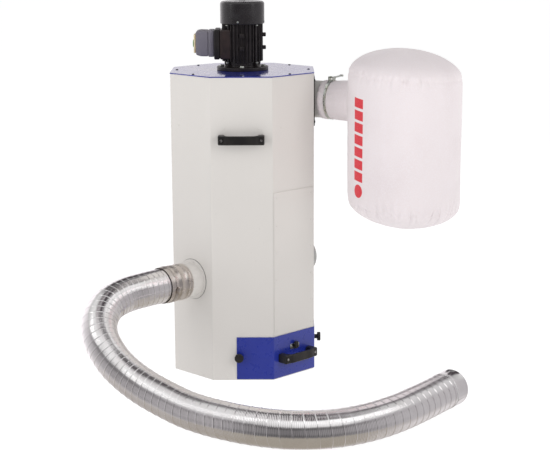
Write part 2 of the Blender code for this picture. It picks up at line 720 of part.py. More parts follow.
def make_terminal_box():
    low, high = (-0.0687, -0.054, 0.976), (-0.0354, 0.054, 1.067)
    box = block("terminal_box", low, high, "black_paint")
    cut(box, drum("housing_clearance", FIN_TIP + 0.0006, 0.96, 1.09))
    block("terminal_box_lid", (-0.0867, -0.054, 0.976), (-0.0690, 0.054, 1.067), "black_paint", 0.002)


def make_switch():
    """The starter on the terminal box: housing, cover frame and two push buttons."""
    block("switch_housing", (-0.1427, -0.040, 0.983), (-0.0870, 0.040, 1.064), "grey_plastic", 0.003)
    frame = block("switch_cover", (-0.1500, -0.034, 0.995), (-0.1430, 0.034, 1.052), "grey_plastic",
                  0.0018)
    for name, y, finish in (("start_button", -0.0155, "green_button"), ("stop_button", 0.0155, "red_button")):
        hole = drum(name + "_hole", 0.0115, -0.01, 0.02)
        cap = turned(name, [(0.0, 0.0097), (0.0095, 0.0097), (0.0108, 0.0085), (0.0108, 0.0035),
                            (0.0, 0.0035)], finish, 24)
        for piece in (hole, cap):
            mount(piece, Vector((-0.1430, y, 1.0235)), LEFT)
        cut(frame, hole)
    gland = turned("cable_gland", [(0.0, 0.020), (0.0070, 0.020), (0.0085, 0.017), (0.0085, 0.010),
                                   (0.0100, 0.010), (0.0100, GAP), (0.0, GAP)], "black_plastic", 12)
    mount(gland, Vector((-0.1150, 0.040, 1.005)), BACK)
    cut(gland, mount(drum("gland_bore", 0.0045, 0.006, 0.03), Vector((-0.1150, 0.040, 1.005)), BACK))


# ---- rotor and blower --------------------------------------------------------------------------------
HUB_LOW, HUB_TOP = 0.898, 0.930


def make_shaft():
    profile = [(0.0, 1.1250), (SHAFT, 1.1250), (SHAFT, HUB_LOW), (0.0, HUB_LOW)]
    turned("motor_shaft", profile, "plain_steel", 24)


def star(count, inner, outer, half_blade):
    """A hub with straight radial blades, in plan."""
    points = []
    for i in range(count):
        angle = 2 * math.pi * i / count
        lean = half_blade / inner
        tip = half_blade / outer
        points += [(inner * math.cos(angle - lean), inner * math.sin(angle - lean)),
                   (outer * math.cos(angle - tip), outer * math.sin(angle - tip)),
                   (outer * math.cos(angle + tip), outer * math.sin(angle + tip)),
                   (inner * math.cos(angle + lean), inner * math.sin(angle + lean))]
    return points


def make_cooling_fan():
    prism("cooling_fan", [star(7, 0.016, 0.058, 0.0012), circle(SHAFT + 0.0004, 20)], 1.1040, 1.1240,
          "black_plastic")


def make_impeller():
    """Back plate, hub and radial blades of the blower wheel, hanging under the top plate."""
    wheel = drum("impeller", 0.135, 0.9215, 0.9240, "plain_steel", 32)
    hub = drum("impeller_hub", 0.022, HUB_LOW + 0.002, HUB_TOP, None, 24)
    blades = prism("impeller_blades", [star(8, 0.0195, 0.134, 0.0012)], 0.8640, 0.9225)
    eye = turned("impeller_eye", [(0.0, HUB_LOW), (0.060, HUB_LOW), (0.072, 0.860), (0.0, 0.860)], None, 32)
    bore = drum("impeller_bore", SHAFT + 0.0004, 0.85, 0.95, None, 24)
    cut(join(wheel, hub, cut(blades, eye)), bore)


def make_impeller_bolt():
    profile = [(0.0, HUB_LOW - GAP), (0.0150, HUB_LOW - GAP), (0.0150, 0.8955), (0.0075, 0.8955),
               (0.0075, 0.8900), (0.0, 0.8900)]
    turned("impeller_bolt", profile, "zinc_steel", 16)


# ---- the whole machine -------------------------------------------------------------------------------
clear_scene()
parts = new_collection("dust_collector")
cutters = new_collection("cutters")

make_cabinet_shell()
make_base_pan()
make_access_panel()
make_partition()
make_scroll()
make_inlet_cone()
make_top_plate()
make_inlet_spigots()
make_rear_inlet_cap()
make_outlet()
make_filter_bag()
make_bag_clamp()
make_clamp_lever()
make_duct()
make_duct_ends()
make_handle("front_handle", face_point(FRONT, 0.7526), FRONT)
make_handle("rear_handle", face_point(BACK, 0.7526), BACK)
make_drawer()
make_knobs()
make_drawer_catch()
make_motor_flange()
make_flange_bolts()
make_motor_housing()
make_motor_inside()
make_rear_shield()
make_fan_cowl()
make_terminal_box()
make_switch()
make_shaft()
make_cooling_fan()
make_impeller()
make_impeller_bolt()
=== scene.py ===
"""Looks of the dust collector: fine meshes, materials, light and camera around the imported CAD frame."""

import json
import random
from math import atan2, cos, exp, hypot, pi, radians, sin, sqrt, tan

import bmesh
import bpy
from mathutils import Matrix, Vector, noise


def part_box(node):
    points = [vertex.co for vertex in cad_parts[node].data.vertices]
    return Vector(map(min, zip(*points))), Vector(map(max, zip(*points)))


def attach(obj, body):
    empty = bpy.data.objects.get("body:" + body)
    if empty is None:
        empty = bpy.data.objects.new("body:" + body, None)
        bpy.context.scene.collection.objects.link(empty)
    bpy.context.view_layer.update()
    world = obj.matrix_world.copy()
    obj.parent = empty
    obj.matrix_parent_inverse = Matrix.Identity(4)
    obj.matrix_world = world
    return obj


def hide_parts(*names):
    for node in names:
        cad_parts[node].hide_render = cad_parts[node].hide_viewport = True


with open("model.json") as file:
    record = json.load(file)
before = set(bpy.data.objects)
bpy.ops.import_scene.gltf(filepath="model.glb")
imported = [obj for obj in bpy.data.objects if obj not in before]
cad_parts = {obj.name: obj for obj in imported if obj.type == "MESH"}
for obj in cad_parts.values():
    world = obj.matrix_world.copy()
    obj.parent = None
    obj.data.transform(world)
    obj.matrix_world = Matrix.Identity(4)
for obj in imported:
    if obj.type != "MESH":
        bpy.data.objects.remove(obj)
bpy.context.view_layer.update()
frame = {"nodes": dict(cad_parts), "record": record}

# ---- places and sizes, from the frame -----------------------------------------------------------------
SHELL_LOW, SHELL_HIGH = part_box("cabinet_shell")
HALF = SHELL_HIGH.x                       # axis to a front, back or side face
SHELL_TOP = SHELL_HIGH.z
FACE = 0.187                              # width of the front, back and side faces
DIAGONAL = (HALF + FACE / 2) / sqrt(2)
SHEET = 0.0015
DRAWER_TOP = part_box("drawer_front")[1].z
INLET_Z = (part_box("left_inlet_spigot")[0].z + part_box("left_inlet_spigot")[1].z) / 2
PLATE_LOW, PLATE_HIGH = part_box("outlet_plate")
OUTLET = Vector((PLATE_HIGH.x, 0, (PLATE_LOW.z + PLATE_HIGH.z) / 2))
OUTLET_YAW = radians(28.0)
NECK = Vector((cos(OUTLET_YAW), -sin(OUTLET_YAW), 0))
BAG_LOW, BAG_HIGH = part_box("filter_bag")
BAG_RADIUS = 0.1735
BAG_CENTRE = Vector((BAG_HIGH.x - BAG_RADIUS, BAG_LOW.y + BAG_RADIUS, 0))
PRINT_ANGLE = 147.6                        # the printed column, degrees clockwise from +X
PRINT_LOW = 0.6220
PRINT_PITCH = 0.0369
PRINT_BARS = 7
TOP_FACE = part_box("top_plate")[1].z

FRONT, BACK = Vector((0, -1, 0)), Vector((0, 1, 0))
RIGHT, LEFT = Vector((1, 0, 0)), Vector((-1, 0, 0))
RIGHT_FRONT = Vector((1, -1, 0)).normalized()
LEFT_FRONT = Vector((-1, -1, 0)).normalized()
RIGHT_BACK = Vector((1, 1, 0)).normalized()
LEFT_BACK = Vector((-1, 1, 0)).normalized()

# The duct's route: the CAD tube's points, except that its floor run lies lower by the radius the ridges save.
CUFF_END = 0.1293
DUCT_DIAMETER = 0.1065
DUCT_ROUTE = [
    (-0.252, -0.252, 0.308), (-0.301, -0.299, 0.307), (-0.350, -0.340, 0.301), (-0.386, -0.379, 0.289),
    (-0.405, -0.413, 0.270), (-0.413, -0.447, 0.246), (-0.408, -0.480, 0.218), (-0.392, -0.508, 0.190),
    (-0.360, -0.539, 0.153), (-0.313, -0.572, 0.119), (-0.259, -0.609, 0.093), (-0.200, -0.650, 0.074),
    (-0.147, -0.688, 0.061), (-0.090, -0.728, 0.0552), (-0.034, -0.767, 0.0540), (0.026, -0.803, 0.0538),
    (0.104, -0.834, 0.0538), (0.190, -0.844, 0.0538), (0.276, -0.826, 0.0538), (0.358, -0.780, 0.0538),
    (0.437, -0.708, 0.0538), (0.511, -0.616, 0.0538), (0.585, -0.513, 0.0538),
]


# ---- mesh helpers -------------------------------------------------------------------------------------
def new_object(name, data):
    thing = bpy.data.objects.new(name, data)
    bpy.context.scene.collection.objects.link(thing)
    return thing


def finished(shape, name="part"):
    """The bmesh as mesh data; the bmesh is freed."""
    data = bpy.data.meshes.new(name)
    shape.to_mesh(data)
    shape.free()
    return data


def new_piece(name, shape, material, replaces=(), sharp=35, body="cabinet"):
    """Make an object from a bmesh, shade it, parent it to its body's empty and hide the CAD parts it stands for.
    """
    data = finished(shape, name)
    piece = new_object(name, data)
    data.materials.append(material)
    data.shade_smooth()
    data.set_sharp_from_angle(angle=radians(sharp))
    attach(piece, body)
    if replaces:
        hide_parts(*replaces)
    return piece


def turned(degrees, axis="Z"):
    return Matrix.Rotation(radians(degrees), 4, axis)


def shifted(x, y, z):
    return Matrix.Translation((x, y, z))


def transform(shape, matrix):
    bmesh.ops.transform(shape, matrix=matrix, verts=shape.verts)
    return shape


def bridge(shape, lower, upper):
    """Quads between two closed rings of vertices."""
    for i in range(len(lower)):
        j = (i + 1) % len(lower)
        shape.faces.new((lower[i], lower[j], upper[j], upper[i]))


def placed(origin, normal):
    """Matrix that puts local X to the right, Y up and Z along an upright face's normal."""
    up = Vector((0, 0, 1))
    right = up.cross(normal)
    matrix = Matrix((right, up, normal)).transposed().to_4x4()
    matrix.translation = origin
    return matrix


def face_point(normal, height, out=0.0):
    reach = DIAGONAL if abs(normal.x * normal.y) > 0.1 else HALF
    point = normal * (reach + out)
    return Vector((point.x, point.y, height))


def on_face(normal, across, height, out=0.0):
    """A point on a cabinet face: across to the right of its middle line, out from its surface."""
    return face_point(normal, height, out) + Vector((0, 0, 1)).cross(normal) * across


def lathe(profile, steps=64, closed=False, matrix=None, shape=None):
    """Turn (radius, z) points about Z into a bmesh; end points on the axis are welded."""
    shape = shape or bmesh.new()
    rings = []
    for radius, z in profile:
        if radius < 1e-6:
            rings.append([shape.verts.new((0, 0, z))])
        else:
            rings.append([shape.verts.new((radius * cos(2 * pi * i / steps),
                                           radius * sin(2 * pi * i / steps), z))
                          for i in range(steps)])
    pairs = list(zip(rings, rings[1:])) + ([(rings[-1], rings[0])] if closed else [])
    for upper, lower in pairs:
        for i in range(steps):
            j = (i + 1) % steps
            corners = [upper[i % len(upper)], lower[i % len(lower)], lower[j % len(lower)],
                       upper[j % len(upper)]]
            unique = list(dict.fromkeys(corners))
            if len(unique) > 2:
                shape.faces.new(unique)
    made = [v for ring in rings for v in ring]
    if matrix is not None:
        bmesh.ops.transform(shape, matrix=matrix, verts=made)
    return shape


def arc(centre, radius, start, end, steps):
    """Points of an arc in a turned profile, angles in degrees."""
    points = []
    for i in range(steps + 1):
        angle = radians(start + (end - start) * i / steps)
        points.append((centre[0] + radius * cos(angle), centre[1] + radius * sin(angle)))
    return points


def soft_box(low, high, radius, segments=3, matrix=None, shape=None):
    """A box with rounded edges, added to a bmesh."""
    shape = shape or bmesh.new()
    low, high = Vector(low), Vector(high)
    verts = bmesh.ops.create_cube(shape, size=1)["verts"]
    bmesh.ops.scale(shape, vec=high - low, verts=verts)
    bmesh.ops.translate(shape, vec=(low + high) / 2, verts=verts)
    if radius:
        edges = list({e for v in verts for e in v.link_edges})
        made = bmesh.ops.bevel(shape, geom=edges, offset=radius, segments=segments, profile=0.5,
                               affect="EDGES", clamp_overlap=True)
        verts = list({v for f in made["faces"] for v in f.verts} | {v for v in verts if v.is_valid})
    if matrix is not None:
        bmesh.ops.transform(shape, matrix=matrix, verts=verts)
    return shape


def rounded(corners, radius, steps=4):
    """Replace each corner of a closed flat outline by an arc."""
    points = []
    count = len(corners)
    for i in range(count):
        before, here, after = (Vector(corners[k % count]) for k in (i - 1, i, i + 1))
        size = radius[i] if isinstance(radius, (list, tuple)) else radius
        if size <= 0:
            points.append(tuple(here))
            continue
        a, b = (before - here).normalized(), (after - here).normalized()
        half = a.angle(b) / 2
        reach = min(size / tan(half), (before - here).length * 0.49, (after - here).length * 0.49)
        true_radius = reach * tan(half)
        centre = here + (a + b).normalized() * true_radius / sin(half)
        start, end = here + a * reach - centre, here + b * reach - centre
        turn = atan2(start.cross(end), start.dot(end))
        for k in range(steps + 1):
            points.append(tuple(centre + Matrix.Rotation(turn * k / steps, 2) @ start))
    return points


def extrude(outline, low, high, bevel=0.0, hole=None, matrix=None, shape=None):
    """Extrude a closed flat outline between two heights, with rounded rims; hole is an inner outline
    with as many points."""
    shape = shape or bmesh.new()
    levels = [(low, bevel), (low + bevel, 0.0), (high - bevel, 0.0), (high, bevel)] if bevel else \
        [(low, 0.0), (high, 0.0)]
    made = []

    def rings(points, grow):
        outward = outward_shifts(points)
        out = []
        for z, inset in levels:
            out.append([shape.verts.new((x + dx * inset * grow, y + dy * inset * grow, z))
                        for (x, y), (dx, dy) in zip(points, outward)])
            made.extend(out[-1])
        return out

    outer = rings(outline, -1.0)
    for lower, upper in zip(outer, outer[1:]):
        bridge(shape, lower, upper)
    if hole:
        inner = rings(hole, 1.0)
        for lower, upper in zip(inner, inner[1:]):
            bridge(shape, upper, lower)
        bridge(shape, inner[0], outer[0])
        bridge(shape, outer[-1], inner[-1])
    else:
        shape.faces.new(outer[0][::-1])
        shape.faces.new(outer[-1])
    if matrix is not None:
        bmesh.ops.transform(shape, matrix=matrix, verts=made)
    return shape


def outward_shifts(points):
    """Outward shift of each point of an anticlockwise outline, for an offset of one."""
    shifts = []
    count = len(points)
    for i in range(count):
        a, b, c = (Vector(points[k % count]) for k in (i - 1, i, i + 1))
        first, second = (b - a), (c - b)
        n1, n2 = Vector((first.y, -first.x)).normalized(), Vector((second.y, -second.x)).normalized()
        blend = (n1 + n2).normalized() if (n1 + n2).length > 1e-6 else n1
        shifts.append(tuple(blend / max(0.3, blend.dot(n1))))
    return shifts


def add_shape(target, source):
    """Append a finished bmesh to another and free it."""
    data = finished(source)
    target.from_mesh(data)
    bpy.data.meshes.remove(data)
    return target


def copies(template, matrices):
    """One bmesh with a copy of template at each matrix."""
    data = finished(template)
    shape = bmesh.new()
    for matrix in matrices:
        moved = data.copy()
        moved.transform(matrix)
        shape.from_mesh(moved)
        bpy.data.meshes.remove(moved)
    bpy.data.meshes.remove(data)
    return shape


def carve(shape, cutters):
    """Cut a bmesh by each of a list of closed bmeshes, and return the result as a bmesh."""
    target = new_object("carved", finished(shape))
    tools = []
    for cutter in cutters:
        bmesh.ops.recalc_face_normals(cutter, faces=cutter.faces)
        tools.append(new_object("tool", finished(cutter)))
        step = target.modifiers.new("cut", "BOOLEAN")
        step.operation = "DIFFERENCE"
        step.object = tools[-1]
    bpy.context.view_layer.update()
    result = bmesh.new()
    result.from_object(target, bpy.context.evaluated_depsgraph_get())
    for thing in [target] + tools:
        mesh = thing.data
        bpy.data.objects.remove(thing)
        bpy.data.meshes.remove(mesh)
    return result


# ---- material helpers ---------------------------------------------------------------------------------
class Surface:
    """A Principled material with shortcuts for procedural colour, roughness and bump. Its tones are patches of
    other colours as (colour, scale, detail, low, high, strength), uneven is a change of roughness as (scale,
    detail, spread), grain a fine cell bump as (scale, strength, distance), and bumps are noise as (scale,
    detail, strength, distance)."""

    def __init__(self, name, colour, roughness, metallic=0.0, tones=(), uneven=None, grain=None, bumps=(),
                 **values):
        self.material = bpy.data.materials.new(name)
        self.material.use_nodes = True
        self.tree = self.material.node_tree
        self.shader = self.tree.nodes["Principled BSDF"]
        self.roughness = roughness
        self.shader.inputs["Base Color"].default_value = (*colour, 1)
        self.shader.inputs["Roughness"].default_value = roughness
        self.shader.inputs["Metallic"].default_value = metallic
        for key, value in values.items():
            self.shader.inputs[key.replace("_", " ")].default_value = value
        self.where = self.tree.nodes.new("ShaderNodeTexCoord").outputs["Object"]
        for other, scale, detail, low, high, strength in tones:
            self.vary_colour(other, self.remap(self.noise(scale, detail), low, high, 0.0, strength))
        if uneven:
            self.vary_roughness(self.noise(*uneven[:2]), uneven[2])
        if grain:
            self.bump(self.cells(grain[0]), *grain[1:])
        for scale, detail, strength, distance in bumps:
            self.bump(self.noise(scale, detail), strength, distance)

    def node(self, kind, **inputs):
        made = self.tree.nodes.new("ShaderNode" + kind)
        for key, value in inputs.items():
            self.plug(made.inputs[key.replace("_", " ")], value)
        return made

    def plug(self, socket, value):
        if isinstance(value, bpy.types.NodeSocket):
            self.tree.links.new(value, socket)
        else:
            socket.default_value = value

    def noise(self, scale, detail, stretch=None):
        where = self.where
        if stretch:
            where = self.node("Mapping", Vector=where, Scale=stretch).outputs["Vector"]
        return self.node("TexNoise", Vector=where, Scale=scale, Detail=detail).outputs["Fac"]

    def cells(self, scale):
        return self.node("TexVoronoi", Vector=self.where, Scale=scale).outputs["Distance"]

    def remap(self, value, low, high, to_low, to_high):
        return self.node("MapRange", Value=value, From_Min=low, From_Max=high, To_Min=to_low,
                         To_Max=to_high).outputs["Result"]

    def vary_colour(self, other, amount):
        """Mix the base colour with another by a 0 to 1 mask."""
        mix = self.tree.nodes.new("ShaderNodeMix")
        mix.data_type = "RGBA"
        self.plug(mix.inputs["Factor"], amount)
        source = self.shader.inputs["Base Color"]
        if source.is_linked:
            self.plug(mix.inputs["A"], source.links[0].from_socket)
        else:
            mix.inputs["A"].default_value = source.default_value
        mix.inputs["B"].default_value = (*other, 1)
        self.plug(source, mix.outputs["Result"])

    def vary_roughness(self, value, spread):
        self.plug(self.shader.inputs["Roughness"],
                  self.remap(value, 0.3, 0.7, self.roughness - spread, self.roughness + spread))

    def bump(self, height, strength, distance):
        made = self.node("Bump", Height=height, Strength=strength, Distance=distance)
        target = self.shader.inputs["Normal"]
        if target.is_linked:
            self.plug(made.inputs["Normal"], target.links[0].from_socket)
        self.plug(target, made.outputs["Normal"])

    def maths(self, operation, first, second=0.0):
        made = self.tree.nodes.new("ShaderNodeMath")
        made.operation = operation
        self.plug(made.inputs[0], first)
        self.plug(made.inputs[1], second)
        return made.outputs[0]


def pale_plastic(name, colour):
    return Surface(name, colour, 0.4, tones=[([c * 0.9 for c in colour], 22, 3, 0.4, 0.7, 1)],
                   bumps=[(900, 1, 0.10, 0.0003)], Specular_IOR_Level=0.5, Subsurface_Weight=0.05).material


def make_steel():
    """Galvanised sheet with a soft spangle."""
    surface = Surface("galvanised_steel", (0.58, 0.59, 0.60), 0.38, 1, uneven=(80, 3, 0.08),
                      bumps=[(300, 2, 0.08, 0.0004)])
    surface.vary_colour((0.46, 0.47, 0.49), surface.remap(surface.cells(70), 0.1, 0.6, 0.0, 0.9))
    return surface.material


def make_turned_steel():
    surface = Surface("turned_steel", (0.56, 0.55, 0.54), 0.26, 1, uneven=(200, 2, 0.06))
    surface.bump(surface.noise(900, 1, (0.02, 0.02, 1.0)), 0.2, 0.0002)
    return surface.material


def make_cloth():
    """Dense needled filter cloth: matt, almost white, with a fine weave and soft mottling, and on the left
    side a worn red print, a column of plain slanted bars over a round dot."""
    surface = Surface("bag_cloth", (0.775, 0.712, 0.724), 0.88,
                      tones=[((0.735, 0.668, 0.680), 9, 4, 0.42, 0.72, 0.9),
                             ((0.79, 0.745, 0.770), 260, 2, 0.45, 0.7, 0.6)],
                      Specular_IOR_Level=0.25, Sheen_Weight=0.35, Sheen_Roughness=0.5,
                      Sheen_Tint=(1.0, 0.965, 0.97, 1))
    maths = surface.maths

    axes = surface.node("SeparateXYZ", Vector=surface.where)
    east = maths("SUBTRACT", axes.outputs["X"], BAG_CENTRE.x)
    north = maths("SUBTRACT", axes.outputs["Y"], BAG_CENTRE.y)
    across = maths("MULTIPLY", maths("ADD", maths("ARCTAN2", north, east), radians(PRINT_ANGLE)), BAG_RADIUS)
    slanted = maths("ADD", axes.outputs["Z"], maths("MULTIPLY", across, 0.13))
    rows = maths("FRACT", maths("DIVIDE", maths("SUBTRACT", slanted, PRINT_LOW), PRINT_PITCH))
    bars = surface.remap(maths("ABSOLUTE", maths("SUBTRACT", rows, 0.5)), 0.375, 0.40, 1.0, 0.0)
    column = surface.remap(maths("ABSOLUTE", across), 0.0205, 0.0215, 1.0, 0.0)
    half = PRINT_BARS * PRINT_PITCH / 2
    reach = maths("ABSOLUTE", maths("SUBTRACT", slanted, PRINT_LOW + half))
    bars = maths("MULTIPLY", maths("MULTIPLY", bars, column), maths("LESS_THAN", reach, half))
    below = maths("SUBTRACT", axes.outputs["Z"], PRINT_LOW - 0.0262)
    far = maths("SQRT", maths("ADD", maths("MULTIPLY", across, across), maths("MULTIPLY", below, below)))
    dot = surface.remap(far, 0.0200, 0.0210, 1.0, 0.0)
    worn = surface.remap(surface.noise(700, 3), 0.58, 0.75, 1.0, 0.7)
    surface.vary_colour((0.66, 0.030, 0.045), maths("MULTIPLY", maths("MAXIMUM", bars, dot), worn))
    for stretch in ((1.0, 1.0, 0.25), (0.25, 0.25, 1.0)):
        surface.bump(surface.noise(1500, 1, stretch), 0.22, 0.0005)
    surface.bump(surface.noise(45, 3), 0.12, 0.002)
    return surface.material


# powder coat with orange peel, and a little dust
PAINT = Surface("cabinet_paint", (0.66, 0.635, 0.605), 0.42,
                tones=[((0.6303, 0.606425, 0.577775), 3, 2, 0.35, 0.7, 0.8),
                       ((0.50, 0.48, 0.45), 160, 4, 0.66, 0.80, 0.35)],
                uneven=(40, 3, 0.05), bumps=[(950, 1, 0.10, 0.0004), (7, 0, 0.25, 0.0012)],
                Specular_IOR_Level=0.5).material
BLUE = Surface("blue_paint", (0.013, 0.027, 0.265), 0.30,
               tones=[((0.018, 0.034, 0.310), 5, 2, 0.35, 0.7, 1), ((0.10, 0.12, 0.30), 240, 5, 0.68, 0.78, 0.2)],
               uneven=(60, 3, 0.05), bumps=[(420, 1, 0.06, 0.0004)], Specular_IOR_Level=0.6, Coat_Weight=0.8,
               Coat_Roughness=0.07, Coat_IOR=1.5).material
BLACK = Surface("black_paint", (0.0105, 0.0085, 0.0100), 0.28,
                tones=[((0.020, 0.018, 0.020), 30, 3, 0.4, 0.75, 1)], uneven=(90, 3, 0.07),
                bumps=[(700, 1, 0.12, 0.0004)], Specular_IOR_Level=0.55, Coat_Weight=0.35,
                Coat_Roughness=0.18).material
MOTOR = Surface("motor_castings", (0.0120, 0.0095, 0.0105), 0.38,
                tones=[((0.026, 0.021, 0.021), 45, 4, 0.42, 0.72, 1)], uneven=(120, 3, 0.10),
                bumps=[(520, 3, 0.35, 0.0006)], Specular_IOR_Level=0.5).material
# the terminal box's casting paint is slightly browner than the motor
BOX_BROWN = Surface("terminal_box_paint", (0.030, 0.019, 0.018), 0.34,
                    tones=[((0.018, 0.013, 0.013), 40, 3, 0.4, 0.7, 1)], bumps=[(600, 2, 0.25, 0.0005)],
                    Specular_IOR_Level=0.5).material
PLASTIC = Surface("black_plastic", (0.0100, 0.0090, 0.0090), 0.42,
                  tones=[((0.024, 0.021, 0.019), 25, 3, 0.4, 0.75, 1)], uneven=(70, 2, 0.06),
                  grain=(1500, 0.18, 0.0003), Specular_IOR_Level=0.5).material
GREY = Surface("grey_plastic", (0.155, 0.145, 0.175), 0.48, tones=[((0.185, 0.175, 0.200), 18, 3, 0.4, 0.7, 1)],
               grain=(1700, 0.20, 0.0003), Specular_IOR_Level=0.5).material
# near-black matt material of the thin ring round the inlet flanges: painted shade of the gap under them
SHADOW_RING_BLACK = Surface("shadow_ring_black", (0.016, 0.015, 0.015), 0.62, uneven=(80, 2, 0.08),
                 bumps=[(600, 2, 0.2, 0.0004)]).material
PALE = pale_plastic("cap_plastic", (0.50, 0.49, 0.48))
CREAM = pale_plastic("switch_cream", (0.62, 0.52, 0.33))
GREEN = pale_plastic("start_green", (0.02, 0.23, 0.05))
RED = pale_plastic("stop_red", (0.48, 0.012, 0.012))
# bright zinc plate with its faint green and yellow passivation
ZINC = Surface("zinc_plate", (0.62, 0.66, 0.62), 0.30, 1, tones=[((0.70, 0.66, 0.50), 60, 2, 0.45, 0.75, 0.5)],
               uneven=(150, 4, 0.09), bumps=[(900, 2, 0.12, 0.0003)]).material
STEEL = make_steel()
TURNED = make_turned_steel()
ALLOY = Surface("wheel_alloy", (0.62, 0.62, 0.63), 0.42, 1, uneven=(60, 3, 0.08),
                bumps=[(500, 2, 0.15, 0.0004)]).material
# thin bright aluminium: foil creases, fine rolling lines and soft smudges
DUCT = Surface("duct_aluminium", (0.905, 0.885, 0.890), 0.13, 1,
               tones=[((0.82, 0.795, 0.79), 22, 3, 0.42, 0.75, 0.8)], uneven=(55, 4, 0.05),
               bumps=[(130, 3, 0.07, 0.0010), (700, 2, 0.08, 0.0004)]).material
# heavier sheet on the duct's ends, duller and a little brown
CUFF = Surface("cuff_metal", (0.70, 0.65, 0.61), 0.30, 1,
               tones=[((0.60, 0.54, 0.50), 30, 3, 0.42, 0.75, 0.8)], uneven=(40, 4, 0.08),
               bumps=[(160, 3, 0.04, 0.0008)]).material
CLOTH = make_cloth()


# ---- camera, floor and light --------------------------------------------------------------------------
def make_camera():
    data = bpy.data.cameras.new("camera")
    data.lens = 99.05
    data.sensor_width = 36
    camera = new_object("camera", data)
    camera.location = (0.1281, -4.7193, 1.4014)
    yaw, pitch, roll = 0.0063, 0.1999, -0.0048
    camera.rotation_euler = (Matrix.Rotation(yaw, 3, "Z") @ Matrix.Rotation(pi / 2 - pitch, 3, "X")
                             @ Matrix.Rotation(roll, 3, "Z")).to_euler()
    bpy.context.scene.camera = camera


def make_floor():
    data = bpy.data.meshes.new("floor")
    size = 60
    data.from_pydata([(-size, -size, 0), (size, -size, 0), (size, size, 0), (-size, size, 0)], [],
                     [(0, 1, 2, 3)])
    floor = new_object("floor", data)
    surface = Surface("floor", (0.26, 0.26, 0.26), 0.8, Specular_IOR_Level=0.0, Emission_Color=(1, 1, 1, 1),
                      Emission_Strength=0.92)
    surface.vary_colour((0.255, 0.255, 0.26), surface.noise(0.8, 2))
    data.materials.append(surface.material)
    floor.visible_glossy = False


def area_light(name, place, target, size, power, colour=(1, 1, 1)):
    data = bpy.data.lights.new(name, "AREA")
    data.shape = "RECTANGLE"
    data.size, data.size_y = size
    data.energy = power
    data.color = colour
    lamp = new_object(name, data)
    lamp.location = place
    lamp.rotation_euler = (Vector(target) - Vector(place)).to_track_quat("-Z", "Y").to_euler()
    return lamp


DAYLIGHT = 0.33           # evenly spread part of the light
# the dark parts of the studio's ceiling, an arch from overhead down behind: height, azimuth and reach
DARK_CEILING = ((76, 75, 11), (69, 95, 8), (80, 50, 9), (84, 131, 6), (75, -147, 7), (68, -162, 6),
                (54, -158, 7), (48, -163, 7), (41, -168, 8), (33, -173, 8), (24, -177, 8), (57, 168, 6),
                (66, 158, 7), (73, 142, 7), (77, 114, 7), (53, 145, 7), (48, 154, 7), (38, 158, 7),
                (31, 166, 6))


